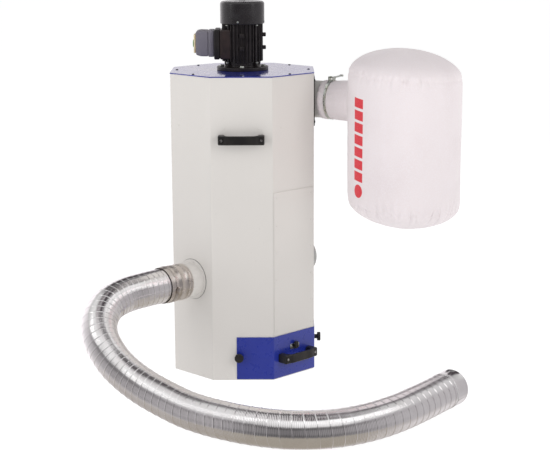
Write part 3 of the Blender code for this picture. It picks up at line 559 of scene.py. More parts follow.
def make_world():
    """Soft white light all round, and for reflections a photographer's studio: a bright backdrop and floor
    behind, a broad softbox in front and above, dimmer walls, a dark patch of ceiling and a warm grey floor.
    Azimuths are in degrees from the camera's side, to the right; heights are degrees above the horizon."""
    world = bpy.data.worlds.new("studio")
    bpy.context.scene.world = world
    world.use_nodes = True
    tree = world.node_tree
    tree.nodes.clear()

    def node(kind, **values):
        made = tree.nodes.new("ShaderNode" + kind)
        for key, value in values.items():
            plug(made.inputs[key.replace("_", " ")], value)
        return made

    def plug(socket, value):
        if isinstance(value, bpy.types.NodeSocket):
            tree.links.new(value, socket)
        else:
            socket.default_value = value

    def maths(operation, first, second):
        made = node("Math", Value=first)
        made.operation = operation
        plug(made.inputs[1], second)
        return made.outputs[0]

    def ramp(factor, stops):
        made = tree.nodes.new("ShaderNodeValToRGB")
        plug(made.inputs["Fac"], factor)
        points = made.color_ramp.elements
        while len(points) < len(stops):
            points.new(0.5)
        for point, (place, level) in zip(points, stops):
            point.position = place
            point.color = (*(level if isinstance(level, tuple) else (level,) * 3), 1)
        return made.outputs["Color"]

    def mix(factor, first, second, blend="MIX"):
        made = tree.nodes.new("ShaderNodeMix")
        made.data_type = "RGBA"
        made.blend_type = blend
        for key, value in (("Factor", factor), ("A", first), ("B", second)):
            plug(made.inputs[key], value)
        return made.outputs["Result"]

    def by_azimuth(*stops):
        return ramp(azimuth, [((degrees + 180) / 360, level) for degrees, level in stops])

    def by_height(*stops):
        return ramp(height, [((sin(radians(degrees)) + 1) / 2, level) for degrees, level in stops])

    where = node("TexCoord").outputs["Generated"]
    axes = node("SeparateXYZ", Vector=where)
    height = node("MapRange", Value=axes.outputs["Z"], From_Min=-1.0, From_Max=1.0).outputs["Result"]
    turn = maths("ARCTAN2", axes.outputs["X"], maths("MULTIPLY", axes.outputs["Y"], -1.0))
    azimuth = node("MapRange", Value=turn, From_Min=-pi, From_Max=pi).outputs["Result"]

    walls = by_azimuth((-180, 0.95), (-165, 1.10), (-150, 1.20), (-135, 1.15), (-120, 0.90), (-105, 0.68),
                       (-90, 0.58), (-75, 0.44), (-60, 0.34), (-45, 0.25), (-30, 0.17), (0, 0.18),
                       (15, 0.24), (45, 0.31), (60, 0.34), (75, 0.44), (90, 0.48), (120, 0.56), (135, 0.64),
                       (150, 0.67), (165, 0.74), (180, 0.95))
    walls = mix(1.0, walls, (1.0, 0.965, 0.99, 1), "MULTIPLY")
    near_floor = (0.375, 0.340, 0.290, 1)
    far_floor = by_azimuth((-180, (0.58, 0.55, 0.55)), (-90, (0.46, 0.43, 0.41)), (-60, (0.38, 0.35, 0.30)),
                           (60, (0.38, 0.35, 0.30)), (95, (0.48, 0.45, 0.44)), (125, (0.82, 0.79, 0.80)),
                           (150, (0.82, 0.79, 0.80)), (180, (0.58, 0.55, 0.55)))
    ground = mix(by_height((-62, 0.0), (-42, 1.0)), near_floor, far_floor)
    softbox = by_azimuth((-180, 0.24), (-163, 0.24), (-150, 0.50), (-135, 0.88), (-105, 0.85), (-75, 0.80),
                         (-30, 0.88), (0, 1.0), (20, 1.15), (55, 1.15), (75, 0.90), (120, 0.82), (135, 0.72),
                         (150, 0.50), (165, 0.36), (180, 0.26))
    softbox = mix(1.0, softbox, by_height((33, 0.68), (45, 0.88), (54, 1.0), (64, 1.0), (72, 0.85)),
                  "MULTIPLY")
    studio = mix(by_height((-33, 0.0), (-27, 1.0)), ground, walls)
    studio = mix(by_height((29, 0.0), (33, 1.0)), studio, softbox)
    studio = mix(by_height((69, 0.0), (74, 1.0)), studio, (0.56, 0.53, 0.54, 1))
    gaps = by_height((-33, 1.0), (-27, 0.72), (-18, 0.66), (-9, 1.0), (13, 1.0), (19, 0.62), (24, 0.62),
                     (31, 1.0))
    before = by_azimuth((-85, 0.0), (-68, 1.0), (60, 1.0), (90, 0.0))
    studio = mix(before, studio, mix(1.0, studio, gaps, "MULTIPLY"))
    ceiling = 0.0
    for rise, side, reach in DARK_CEILING:
        up, round_to = radians(rise), radians(side)
        spot = tree.nodes.new("ShaderNodeVectorMath")
        spot.operation = "DOT_PRODUCT"
        plug(spot.inputs[0], where)
        plug(spot.inputs[1], (cos(up) * sin(round_to), -cos(up) * cos(round_to),
                              sin(up)))
        close = node("MapRange", Value=spot.outputs["Value"], From_Min=cos(radians(reach * 1.25)),
                     From_Max=cos(radians(reach * 0.75)))
        ceiling = maths("MAXIMUM", close.outputs["Result"], ceiling)
    studio = mix(ceiling, studio, (0.070, 0.060, 0.066, 1))
    glossy = node("LightPath").outputs["Is Glossy Ray"]
    colour = mix(glossy, (DAYLIGHT, DAYLIGHT, DAYLIGHT, 1), studio)
    background = node("Background", Color=colour)
    output = node("OutputWorld")
    tree.links.new(background.outputs[0], output.inputs["Surface"])


def make_light():
    make_world()
    lamps = [area_light("left_softbox", (-2.6, -2.6, 2.1), (0.1, -0.1, 0.5), (2.2, 2.2), 31,
                        (0.99, 0.985, 1.0)),
             area_light("right_softbox", (2.7, -2.7, 2.1), (0.2, 0.0, 0.5), (2.2, 2.2), 48, (1.0, 0.98, 0.98)),
             area_light("overhead", (0.1, -1.2, 3.6), (0.1, -0.1, 0.4), (2.4, 2.4), 12),
             area_light("left_fill", (-2.6, -1.4, 0.7), (0.0, 0.0, 0.35), (1.2, 1.2), 15, (0.99, 0.985, 1.0)),
             area_light("back_left", (-2.4, 2.6, 2.4), (0, 0, 0.6), (1.8, 1.8), 30),
             area_light("back_right", (2.6, 2.4, 2.4), (0.2, 0, 0.6), (1.8, 1.8), 30)]
    for lamp in lamps:
        lamp.visible_glossy = False
        lamp.data.specular_factor = 0.0
    for name, x in (("left_strip", -1.73), ("right_strip", 1.73)):
        area_light(name, (x, -1.0, 1.70), (0, 0, 1.10), (0.5, 1.0), 1.8)
    bpy.context.scene.view_settings.view_transform = "Standard"


# ---- shared places ------------------------------------------------------------------------------------
GAP = 0.0003              # between parts that touch
BORE = 0.0525
OUTLET_BORE = 0.056
FACES = [FRONT, RIGHT_FRONT, RIGHT, RIGHT_BACK, BACK, LEFT_BACK, LEFT, LEFT_FRONT]
LEFT_INLET = placed(face_point(LEFT_FRONT, INLET_Z), LEFT_FRONT)
REAR_INLET = placed(face_point(RIGHT_BACK, INLET_Z), RIGHT_BACK)
ON_NECK = placed(OUTLET, NECK)


# ---- duct ---------------------------------------------------------------------------------------------
def smooth_route(points, per_span):
    """Read a Catmull-Rom curve through the route's points."""
    knots = [Vector(p) for p in points]
    knots = [knots[0] * 2 - knots[1]] + knots + [knots[-1] * 2 - knots[-2]]
    path = []
    for a, b, c, d in zip(knots, knots[1:], knots[2:], knots[3:]):
        for i in range(per_span):
            t = i / per_span
            path.append(0.5 * (2 * b + (c - a) * t + (2 * a - 5 * b + 4 * c - d) * t ** 2
                               + (3 * b - a - 3 * c + d) * t ** 3))
    return path + [knots[-2]]


def even_path(points, step):
    """Points spaced evenly along a polyline."""
    path, left = [points[0]], step
    for a, b in zip(points, points[1:]):
        span = (b - a).length
        at = left
        while at <= span:
            path.append(a.lerp(b, at / span))
            at += step
        left = at - span
    return path


def carried_frames(path):
    """Each point of a path with side and up vectors, carried along without twist."""
    frames = []
    up = Vector((0, 0, 1))
    for i, point in enumerate(path):
        ahead = path[min(i + 1, len(path) - 1)] - path[max(i - 1, 0)]
        along = ahead.normalized()
        side = along.cross(up).normalized()
        up = side.cross(along).normalized()
        frames.append((point, side, up))
    return frames


RING_STEP = 0.00060       # distance between two rings of the duct's mesh
SEAM_PITCH = ((0.0, 0.0185), (0.42, 0.0195), (0.60, 0.025), (0.85, 0.030), (1.7, 0.029))
RIDGES = 6                # fine corrugations between two turns of the seam


def seam_pitch(along):
    """Spacing of the helical lock seam: close where the duct is pushed together, wide where it is drawn out."""
    for (start, first), (end, last) in zip(SEAM_PITCH, SEAM_PITCH[1:]):
        if along <= end:
            return first + (last - first) * (along - start) / (end - start)
    return SEAM_PITCH[-1][1]


def make_duct():
    """Semi-rigid aluminium duct: one helical lock seam with fine corrugations between its turns."""
    sides = 60
    path = even_path([face_point(LEFT_FRONT, INLET_Z, CUFF_END)] + smooth_route(DUCT_ROUTE, 12), RING_STEP)
    shape = bmesh.new()
    rings = []
    phase = 0.0
    for i, (point, side, up) in enumerate(carried_frames(path)):
        pitch = seam_pitch(i * RING_STEP)
        phase += RING_STEP / pitch
        stretch = pitch / 0.030
        ring = []
        for k in range(sides):
            angle = 2 * pi * k / sides
            turn = (phase + k / sides) % 1.0
            ridge = 0.5 + 0.5 * cos(2 * pi * turn * (RIDGES + 1))
            seam = exp(-(min(turn, 1 - turn) / 0.042) ** 2)
            radius = DUCT_DIAMETER / 2 - 0.0012 + 0.00042 * stretch * ridge + 0.0007 * seam
            radius += 0.0003 * noise.noise(Vector((i * 0.012, k * 0.15, 3.0)))
            ring.append(shape.verts.new(point + (side * cos(angle) + up * sin(angle)) * radius))
        rings.append(ring)
    for lower, upper in zip(rings, rings[1:]):
        for k in range(sides):
            j = (k + 1) % sides
            shape.faces.new((lower[k], upper[k], upper[j], lower[j]))
    piece = new_piece("duct_spiral", shape, DUCT, ["inlet_hose"], 60)
    wall = piece.modifiers.new("wall", "SOLIDIFY")
    wall.thickness = 0.0008
    wall.offset = -1
    length = sum((b - a).length for a, b in zip(path, path[1:]))
    return piece, path, length


def make_duct_fittings():
    cuff = [(0.0545, CUFF_END - GAP), (0.0556, CUFF_END - GAP), (0.0558, 0.1275)]
    for middle, size, rise in ((0.0890, 0.0020, 0.0010), (0.0620, 0.0020, 0.0010), (0.0500, 0.0014, 0.0004)):
        for i in range(9):
            along = 1 - i / 4
            cuff.append((0.0556 + rise * cos(along * pi / 2), middle + size * along))
    cuff += [(0.0556, 0.0450), (0.0554, 0.0443), (0.0548, 0.0441), (0.0545, 0.0446)]
    new_piece("duct_cuff", lathe(cuff, 96, True, LEFT_INLET), CUFF, ["hose_cuff"], 50)

    band = lathe([(0.0563, 0.103), (0.0571, 0.1032), (0.0572, 0.1040), (0.0571, 0.1045), (0.0571, 0.1115),
                  (0.0572, 0.1120), (0.0571, 0.1128), (0.0563, 0.113)], 96, True)
    slots = copies(soft_box((0.0560, -0.0005, 0.1052), (0.0580, 0.0005, 0.1108), 0),
                   [turned(-60 + 3.0 * i) for i in range(16)])
    band = carve(band, [slots])
    turn = turned(80)
    worm = lathe([(0.0, 0.0095), (0.0030, 0.0095), (0.0036, 0.0085), (0.0036, -0.0085), (0.0030, -0.0095),
                  (0.0, -0.0095)], 24, False,
                 turn @ shifted(0, -0.0604, 0.108) @ turned(90, "Y"))
    add_shape(band, worm)
    add_shape(band, soft_box((-0.0075, -0.0610, 0.1015), (0.0075, -0.0569, 0.1145), 0.0006, 2, turn))
    head = lathe([(0.0, 0.0038), (0.0030, 0.0038), (0.0038, 0.0030), (0.0038, 0.0), (0.0, 0.0)], 6)
    add_shape(band, copies(head, [turn @ shifted(0.0090, -0.0604, 0.108)
                                  @ turned(90, "Y")]))
    transform(band, LEFT_INLET)
    new_piece("duct_clamp", band, CUFF, ["hose_clamp"])

    before, last = smooth_route(DUCT_ROUTE, 2)[-2:]
    along = (last - before).normalized()
    turn = along.to_track_quat("Z", "Y").to_matrix().to_4x4()
    turn.translation = last
    end = 0.056
    collar = [(0.0521, 0.0006), (0.0525, 0.0003), (0.0532, 0.0003), (0.0535, 0.0010), (0.0535, 0.0030),
              (0.0531, 0.0040), (0.0530, 0.0060), (0.0531, end - 0.0030), (0.0535, end - 0.0020),
              (0.0535, end - 0.0006), (0.0531, end), (0.0525, end), (0.0522, end - 0.0008),
              (0.0522, end - 0.004)]
    shape = lathe(collar, 96, True)
    for v in shape.verts:
        place = v.co
        angle = atan2(place.y, place.x)
        wave = 1 + 0.0030 * noise.noise(Vector((cos(angle) * 2.2, sin(angle) * 2.2, place.z * 30)))
        place.x *= wave
        place.y *= wave
    seam = soft_box((0.0526, -0.0021, 0.0050), (0.0541, 0.0021, end - 0.0035), 0.0006, 2,
                    turned(200))
    add_shape(shape, seam)
    transform(shape, turn)
    new_piece("duct_collar", shape, DUCT, ["hose_end_collar"], 50)


# ---- cabinet ------------------------------------------------------------------------------------------


def octagon(inset):
    across = HALF - inset
    half = FACE / 2 - inset * tan(pi / 8)
    corners = []
    for quarter in range(4):
        turn = Matrix.Rotation(quarter * pi / 2, 2)
        corners += [tuple(turn @ Vector((across, -half))), tuple(turn @ Vector((across, half)))]
    return corners


def disc_cutter(radius, low, high, matrix):
    return lathe([(0, high), (radius, high), (radius, low), (0, low)], 64, False, matrix)


def dome(radius, height):
    """A rivet or pan head standing on z = 0."""
    top = [(radius * sin(a), height * cos(a) ** 0.7)
           for a in (pi / 2 * i / 5 for i in range(6))]
    top[0] = (0.0, height)
    return lathe(top + [(radius, -0.0002), (0.0, -0.0002)], 16)


def cross_screw(radius, height):
    """A pan head with a cross recess."""
    head = lathe([(0.0, height), (radius * 0.55, height * 0.96), (radius * 0.85, height * 0.72),
                  (radius, height * 0.35), (radius, 0.0), (0.0, 0.0)], 28)
    arm, wide = radius * 0.55, radius * 0.13
    along = soft_box((-arm, -wide, height * 0.45), (arm, wide, height * 1.5), 0)
    across = soft_box((-wide, -arm, height * 0.45), (wide, arm, height * 1.5), 0)
    return carve(head, [along, across])


def make_cabinet():
    shell = extrude(rounded(octagon(0), 0.0045, 5), 0, SHELL_TOP, 0.0003,
                    rounded(octagon(SHEET), 0.0030, 5))
    drawer_way = soft_box((-0.148, -0.02, 0.004), (0.148, 0.30, 0.133), 0, 1,
                          turned(-135))
    shell = carve(shell, [
        soft_box((-0.055, 0.170, -0.05), (0.055, 0.555, 0.05), 0.004, 2,
                 placed(face_point(RIGHT_FRONT, 0), RIGHT_FRONT)),
        disc_cutter(BORE, -0.03, 0.03, LEFT_INLET), disc_cutter(BORE, -0.03, 0.03, REAR_INLET),
        disc_cutter(OUTLET_BORE, -0.06, 0.06, ON_NECK), drawer_way])
    new_piece("cabinet_body", shell, PAINT, ["cabinet_shell"], 30)

    half, low, high = 0.0865, 0.1395, 0.587
    panel = extrude(rounded([(-half, low), (half, low), (half, high), (-half, high)], 0.003),
                    GAP, GAP + SHEET, 0.0004, None, placed(face_point(RIGHT_FRONT, 0), RIGHT_FRONT))
    new_piece("access_cover", panel, PAINT, ["access_panel"], 30)

    plate = extrude(rounded(octagon(-0.0015), 0.0050, 5), TOP_FACE - 0.003, TOP_FACE, 0.0006)
    plate = carve(plate, [disc_cutter(0.048, 0.9, 1.0, Matrix())])
    new_piece("top_cover", plate, BLUE, ["top_plate"], 30)

    places = [Matrix.Translation(face_point(face, TOP_FACE, -0.015))
              @ Matrix.Rotation(atan2(face.y, face.x) + 0.6, 4, "Z") for face in FACES]
    new_piece("top_screws", copies(cross_screw(0.0042, 0.0021), places), BLACK)

    places = []
    for face in FACES:
        for across in (-0.0515, 0.0515):
            if face is not RIGHT:
                places.append(placed(on_face(face, across, 0.784), face))
        for across in (-0.0465, 0.0465):
            covered = face is RIGHT_FRONT or (face is FRONT and across > 0) or (face is RIGHT and across < 0)
            if not covered:
                places.append(placed(on_face(face, across, 0.007), face))
    for height in (0.570, 0.485, 0.401, 0.315, 0.230, 0.156):
        for across in (-0.0745, 0.0745):
            places.append(placed(on_face(RIGHT_FRONT, across, height, GAP + SHEET), RIGHT_FRONT))
    for face in (LEFT_FRONT, RIGHT_BACK):
        for i in range(6):
            angle = radians(30 + 60 * i)
            places.append(placed(on_face(face, 0.0580 * cos(angle),
                                         INLET_Z + 0.0580 * sin(angle), 0.0023), face))
    new_piece("rivets", copies(dome(0.0024, 0.0011), places), PAINT)


def spigot(length):
    """Profile of an inlet's tube with its flange."""
    outer = 0.054
    fillet = arc((outer + 0.0025, 0.0023 + 0.0025), 0.0025, 180, 270, 5)
    return [(BORE, length - 0.0004), (BORE + 0.0004, length), (outer - 0.0004, length),
            (outer, length - 0.0004)] + fillet + [(0.0616, 0.0023), (0.0620, 0.0019), (0.0620, GAP),
                                                  (BORE, GAP)]


def make_inlets():
    for side, length, place in (("left", 0.075, LEFT_INLET), ("rear", 0.052, REAR_INLET)):
        new_piece(f"{side}_spigot", lathe(spigot(length), 96, True, place), PAINT,
                  [f"{side}_inlet_spigot"], 40)
    # a thin black ring peeking out round each inlet flange: painted shadow of the gap under the flange
    shadow_ring = lathe([(0.0600, 0.0009), (0.0628, 0.0008), (0.0631, 0.0002), (0.0600, 0.0001)], 72, True)
    new_piece("spigot_shadow_rings", copies(shadow_ring, [LEFT_INLET, REAR_INLET]), SHADOW_RING_BLACK)
    cup = [(0.0, 0.0538), (0.0180, 0.0538), (0.0195, 0.0531), (0.0400, 0.0531), (0.0415, 0.0538)] + \
        arc((0.0556, 0.0526), 0.0012, 90, 0, 4) + \
        [(0.0568, 0.0420), (0.0564, 0.0415), (0.0564, 0.0345), (0.0568, 0.0340), (0.0568, 0.0306),
         (0.0565, 0.0300), (0.0550, 0.0300), (0.0546, 0.0304), (0.0546, 0.0523), (0.0, 0.0523)]
    cap = lathe(cup, 96, False, REAR_INLET)
    new_piece("rear_cap_cover", cap, PALE, ["rear_inlet_cap"], 40, "rear_cap")


# ---- outlet -------------------------------------------------------------------------------------------
def make_outlet():
    half = 0.076
    here = placed(Vector((HALF + GAP, 0, OUTLET.z)), RIGHT)
    plate = extrude(rounded([(-half, -half), (half, -half), (half, half), (-half, half)], 0.006),
                    0, 0.003, 0.0005, None, here)
    plate = carve(plate, [disc_cutter(OUTLET_BORE, -0.06, 0.06, ON_NECK)])
    new_piece("outlet_flange", plate, BLACK, ["outlet_plate"])
    heads = [placed(OUTLET + Vector((0, y, z)), RIGHT) for y in (-0.064, 0.064) for z in (-0.064, 0.064)]
    new_piece("outlet_screws", copies(cross_screw(0.0040, 0.0020), heads), BLACK)
    tube = lathe([(OUTLET_BORE, 0.0945), (0.0564, 0.095), (0.0571, 0.095), (0.0575, 0.0945), (0.0575, -0.06),
                  (OUTLET_BORE, -0.06)], 96, True, ON_NECK)
    tube = carve(tube, [soft_box((0.10, -0.2, 0.70), (OUTLET.x + GAP, 0.2, 1.0), 0)])
    new_piece("outlet_tube", tube, PAINT, ["outlet_spigot"])


CLAMP_AT = 0.064
LEVER_PIVOT = 0.0690


def make_bag_clamp():
    """A flat band with rolled edges, a bracket with two ears, and the toggle that draws it tight."""
    band = lathe([(0.0602, CLAMP_AT - 0.0042), (0.0605, CLAMP_AT - 0.0045), (0.0611, CLAMP_AT - 0.0043),
                  (0.0612, CLAMP_AT - 0.0036), (0.0609, CLAMP_AT - 0.0030), (0.0609, CLAMP_AT + 0.0030),
                  (0.0612, CLAMP_AT + 0.0036), (0.0611, CLAMP_AT + 0.0043), (0.0605, CLAMP_AT + 0.0045),
                  (0.0602, CLAMP_AT + 0.0042)], 120, True)
    bracket = soft_box((-0.016, 0.0585, CLAMP_AT - 0.0085), (0.004, 0.0735, CLAMP_AT + 0.0085), 0.0012, 3)
    bracket = carve(bracket, [
        soft_box((-0.030, 0.0628, CLAMP_AT - 0.0063), (0.030, 0.0800, CLAMP_AT + 0.0063), 0),
        disc_cutter(0.0603, 0.030, 0.090, Matrix())])
    add_shape(band, bracket)
    pin = shifted(0, LEVER_PIVOT, CLAMP_AT)
    for side in (-1, 1):
        rivet = lathe([(0.0, 0.0012), (0.0022, 0.0010), (0.0030, 0.0004), (0.0030, -0.0012), (0.0, -0.0012)], 20)
        add_shape(band, copies(rivet, [pin @ shifted(0, 0, side * 0.0088)
                                       @ Matrix.Rotation(0 if side > 0 else pi, 4, "X")]))
    # the band's free end, lying along the ring behind the bracket
    tail = bmesh.new()
    rows = []
    for i in range(15):
        angle = radians(104 + i * 2.6)
        lift = 0.0612 + 0.0014 * sin(pi * min(1.0, i / 14)) + 0.0008
        rows.append([tail.verts.new(((lift + out) * cos(angle), (lift + out) * sin(angle),
                                     CLAMP_AT + along))
                     for out, along in ((0.0, -0.0040), (0.0012, -0.0040), (0.0012, 0.0040), (0.0, 0.0040))])
    for first, second in zip(rows, rows[1:]):
        bridge(tail, first, second)
    tail.faces.new(rows[0][::-1])
    tail.faces.new(rows[-1])
    bmesh.ops.recalc_face_normals(tail, faces=tail.faces)
    add_shape(band, tail)
    transform(band, ON_NECK)
    new_piece("bag_band", band, ZINC, ["bag_clamp_band"])

    pivot = placed(OUTLET + NECK * CLAMP_AT + Vector((0, 0, LEVER_PIVOT)), NECK)
    side = [(-0.0040, -0.0016), (0.020, -0.0016), (0.030, -0.0016), (0.058, -0.0013), (0.0620, -0.0030),
            (0.0652, -0.0018), (0.0660, 0.0012), (0.0640, 0.0038), (0.0605, 0.0030), (0.056, 0.0019),
            (0.030, 0.0016), (0.020, 0.0016), (0.008, 0.0022), (0.0, 0.0032), (-0.0040, 0.0016)]
    lever = extrude(rounded(side, 0.0006, 2), -0.0056, 0.0056, 0.0007)
    for x in (0.018, 0.030, 0.042):
        add_shape(lever, soft_box((x - 0.0045, 0.0012, -0.0012), (x + 0.0045, 0.0021, 0.0012), 0.0004, 2))
    transform(lever, pivot)
    new_piece("bag_lever", lever, ZINC, ["clamp_lever"], body="lever")


# ---- filter bag ---------------------------------------------------------------------------------------
SEAM_LOW, SEAM_HIGH = 0.5602, 0.9476
BAG_BOTTOM, BAG_TOP = 0.4798, 1.0272
BAG_DROOP = 0.065                          # how much lower the bag hangs for each metre from its neck
FULLNESS = 1.85
SLEEVE_START = 0.0370


def bag_profile(inset, steps):
    """Half outline of the inflated drum from the top centre down, as (radius, z)."""
    radius = BAG_RADIUS - inset
    points = []
    for sign, seam, end in ((1, SEAM_HIGH, BAG_TOP - inset), (-1, SEAM_LOW, BAG_BOTTOM + inset)):
        quarter = []
        for i in range(steps + 1):
            angle = pi / 2 * i / steps
            quarter.append((radius * sin(angle) ** (2 / FULLNESS),
                            seam + (end - seam) * cos(angle) ** (2 / FULLNESS)))
        points += quarter[::sign]
    points[0] = (0.0, points[0][1])
    points[-1] = (0.0, points[-1][1])
    return points


def hang(point):
    """How far the bag's cloth hangs down at a place, more on the side away from its neck."""
    return BAG_DROOP * ((point - BAG_CENTRE).dot(NECK) + BAG_RADIUS)


def bag_form(voxel):
    """The drum with its sleeve as one closed skin of even squares."""
    drum = lathe(bag_profile(0.0010, 20), 128, False, shifted(BAG_CENTRE.x, BAG_CENTRE.y, 0))
    for v in drum.verts:
        v.co.z -= hang(v.co)
    sleeve = lathe([(0.0, 0.24), (0.0640, 0.24), (0.0640, 0.150), (0.0632, 0.110), (0.0612, 0.078),
                    (0.0604, 0.070), (0.0600, CLAMP_AT), (0.0604, 0.056), (0.0614, SLEEVE_START),
                    (0.0, SLEEVE_START)], 96, False, ON_NECK)
    form = new_object("bag_form", finished(add_shape(drum, sleeve)))
    remesh = form.modifiers.new("even", "REMESH")
    remesh.mode = "VOXEL"
    remesh.voxel_size = voxel
    remesh.use_smooth_shade = True
    return form


def bake(thing):
    """Replace an object's mesh by what its modifiers make of it."""
    graph = bpy.context.evaluated_depsgraph_get()
    graph.update()
    data = bpy.data.meshes.new_from_object(thing.evaluated_get(graph))
    thing.modifiers.clear()
    old = thing.data
    thing.data = data
    bpy.data.meshes.remove(old)


def neck_place(point):
    """Distance along the neck, distance from its axis, and angle round it."""
    offset = point - OUTLET
    along = offset.dot(NECK)
    flat = offset - NECK * along
    side = Vector((-NECK.y, NECK.x, 0))
    return along, flat.length, atan2(flat.z, flat.dot(side))


def round_the_join(data, voxel):
    """Smooth only where the sleeve meets the drum, as the sewn cloth bends there."""
    shape = bmesh.new()
    shape.from_mesh(data)
    near = []
    for v in shape.verts:
        along, reach, _ = neck_place(v.co)
        flat = Vector((v.co.x - BAG_CENTRE.x, v.co.y - BAG_CENTRE.y)).length
        if along < 0.30 and abs(flat - BAG_RADIUS) < 0.016 and abs(reach - 0.064) < 0.017:
            near.append(v)
    for _ in range(int(0.045 / voxel)):
        bmesh.ops.smooth_vert(shape, verts=near, factor=0.5, use_axis_x=True, use_axis_y=True, use_axis_z=True)
    shape.to_mesh(data)
    shape.free()


def inflate(form, frames, cap):
    """Blow the bag up a little against its own tight seams, so that the cloth wrinkles by itself."""
    data = form.data
    rest = [v.co.copy() for v in data.vertices]
    pin = form.vertex_groups.new(name="pin")
    tight = form.vertex_groups.new(name="tight")
    for v in data.vertices:
        along, reach, _ = neck_place(v.co)
        if along < 0.071 and reach < 0.08:
            pin.add([v.index], 1.0, "REPLACE")
        for seam in (SEAM_LOW, SEAM_HIGH):
            gap = abs(v.co.z + hang(v.co) - seam)
            if gap < 0.012:
                tight.add([v.index], 1 - gap / 0.012, "ADD")
    cloth = form.modifiers.new("cloth", "CLOTH")
    rules = cloth.settings
    rules.quality = 6
    rules.mass = 0.25
    rules.tension_stiffness = rules.compression_stiffness = 30
    rules.shear_stiffness = 9
    rules.bending_stiffness = 0.35
    rules.use_pressure = True
    rules.uniform_pressure_force = 3.0
    rules.vertex_group_mass = "pin"
    rules.pin_stiffness = 1.0
    rules.vertex_group_shrink = "tight"
    rules.shrink_min = 0.0
    rules.shrink_max = 0.012
    rules.effector_weights.gravity = 0.0
    cloth.collision_settings.use_collision = False
    cloth.point_cache.frame_end = frames
    scene = bpy.context.scene
    for frame_number in range(1, frames + 1):
        scene.frame_set(frame_number)
    bake(form)
    for v, before in zip(form.data.vertices, rest):
        move = v.co - before
        if move.length > cap:
            v.co = before + move * (cap / move.length)
    scene.frame_set(1)
    form.vertex_groups.clear()


def crease_table(seed, count, depth, stretch):
    """Random puckers round a seam: angle, half width, depth, reach below and above, and slant."""
    draw = random.Random(seed)
    creases = []
    for i in range(count):
        creases.append((2 * pi * (i + draw.uniform(-0.42, 0.42)) / count, draw.uniform(0.0028, 0.0065),
                        depth * draw.uniform(0.25, 1.0) ** 1.4, stretch * draw.uniform(0.35, 1.0),
                        stretch * draw.uniform(0.35, 1.0), draw.uniform(-0.22, 0.22)))
    return creases


def wrinkle(point, tables):
    """How far a point of the cloth moves along its normal: puckers at the seams, drag lines at the neck."""
    angle = atan2(point.y - BAG_CENTRE.y, point.x - BAG_CENTRE.x)
    move = 0.0
    along, reach, turn = neck_place(point)
    on_drum = reach > 0.070 or along > 0.26
    if on_drum:
        for seam, table in tables:
            gap = point.z + hang(point) - seam
            if abs(gap) < 0.06:
                groove = exp(-(gap / 0.0030) ** 2)
                move -= 0.0011 * groove
                for place, half, depth, below, above, slant in table:
                    across = (angle - place + pi) % (2 * pi) - pi
                    if abs(across) < 0.22:
                        reach_here = above if gap > 0 else below
                        fade = max(0.0, 1 - abs(gap) / reach_here)
                        width = half * (0.55 + 0.9 * abs(gap) / reach_here)
                        shift = (across * BAG_RADIUS - slant * gap) / width
                        if abs(shift) < 3:
                            move += depth * fade * (0.35 * exp(-((abs(shift) - 1.9) / 0.8) ** 2)
                                                    - exp(-shift * shift))
    slow = noise.noise(Vector((point.x * 7, point.y * 7, point.z * 5)))
    move += 0.0020 * slow
    fold = noise.noise(Vector((cos(angle) * 4.5, sin(angle) * 4.5, point.z * 3.2)))
    move += 0.0011 * fold
    # drag lines fan out from the neck's shoulder over the drum
    if on_drum and reach < 0.20 and along < 0.30:
        strength = exp(-((reach - 0.085) / 0.045) ** 2)
        lines = sin(turn * 9 + 1.8 * noise.noise(Vector((turn * 1.5, reach * 20, 1.0))))
        upper = 0.5 + 0.5 * sin(turn)
        move += 0.0016 * strength * lines * (0.25 + 0.75 * upper)
    if not on_drum:
        gather = exp(-((along - CLAMP_AT) / 0.010) ** 2)
        pleat = sin(turn * 21 + 2.5 * noise.noise(Vector((turn * 2, along * 30, 5))))
        slack = noise.noise(Vector((cos(turn) * 2.4, sin(turn) * 2.4, along * 34)))
        left = 1.0 if along < CLAMP_AT else 0.6
        open_part = min(1.0, abs(along - CLAMP_AT) / 0.012)
        move += left * open_part * (0.0009 * pleat * exp(-abs(along - CLAMP_AT) / 0.035) + 0.0013 * slack)
        move -= 0.0006 * gather
    return move


def make_bag():
    voxel = 0.0055
    form = bag_form(voxel)
    bake(form)
    round_the_join(form.data, voxel)
    inflate(form, 14, 0.006)
    finer = form.modifiers.new("finer", "SUBSURF")
    finer.levels = finer.render_levels = 1
    bake(form)
    data = form.data
    tables = [(SEAM_HIGH, crease_table(5, 40, 0.0034, 0.045)),
              (SEAM_LOW - 0.012, crease_table(8, 40, 0.0042, 0.055))]
    normals = [v.normal.copy() for v in data.vertices]
    for v, normal in zip(data.vertices, normals):
        v.co += normal * wrinkle(v.co, tables)
    # open the sleeve's end and give the cloth its thickness
    shape = bmesh.new()
    shape.from_mesh(data)
    ends = []
    for face in shape.faces:
        along, reach, _ = neck_place(face.calc_center_median())
        if along < SLEEVE_START + 0.004 and reach < 0.0565:
            ends.append(face)
    bmesh.ops.delete(shape, geom=ends, context="FACES")
    least = 0.0597                          # the sleeve's outside, where the band holds it on the tube
    for v in shape.verts:
        along, reach, _ = neck_place(v.co)
        if along < 0.100 and reach < least:
            axis = OUTLET + NECK * along
            v.co = axis + (v.co - axis) * (least / reach)
    bpy.data.objects.remove(form)
    bpy.data.meshes.remove(data)
    bag = new_piece("bag", shape, CLOTH, ["filter_bag"], 180)
    wall = bag.modifiers.new("cloth_thickness", "SOLIDIFY")
    wall.thickness = 0.0012
    wall.offset = -1
    bake(bag)
    bag.data.shade_smooth()


# ---- handles ------------------------------------------------------------------------------------------
SCREWS_APART = 0.120
HANDLE_Z = 0.7526


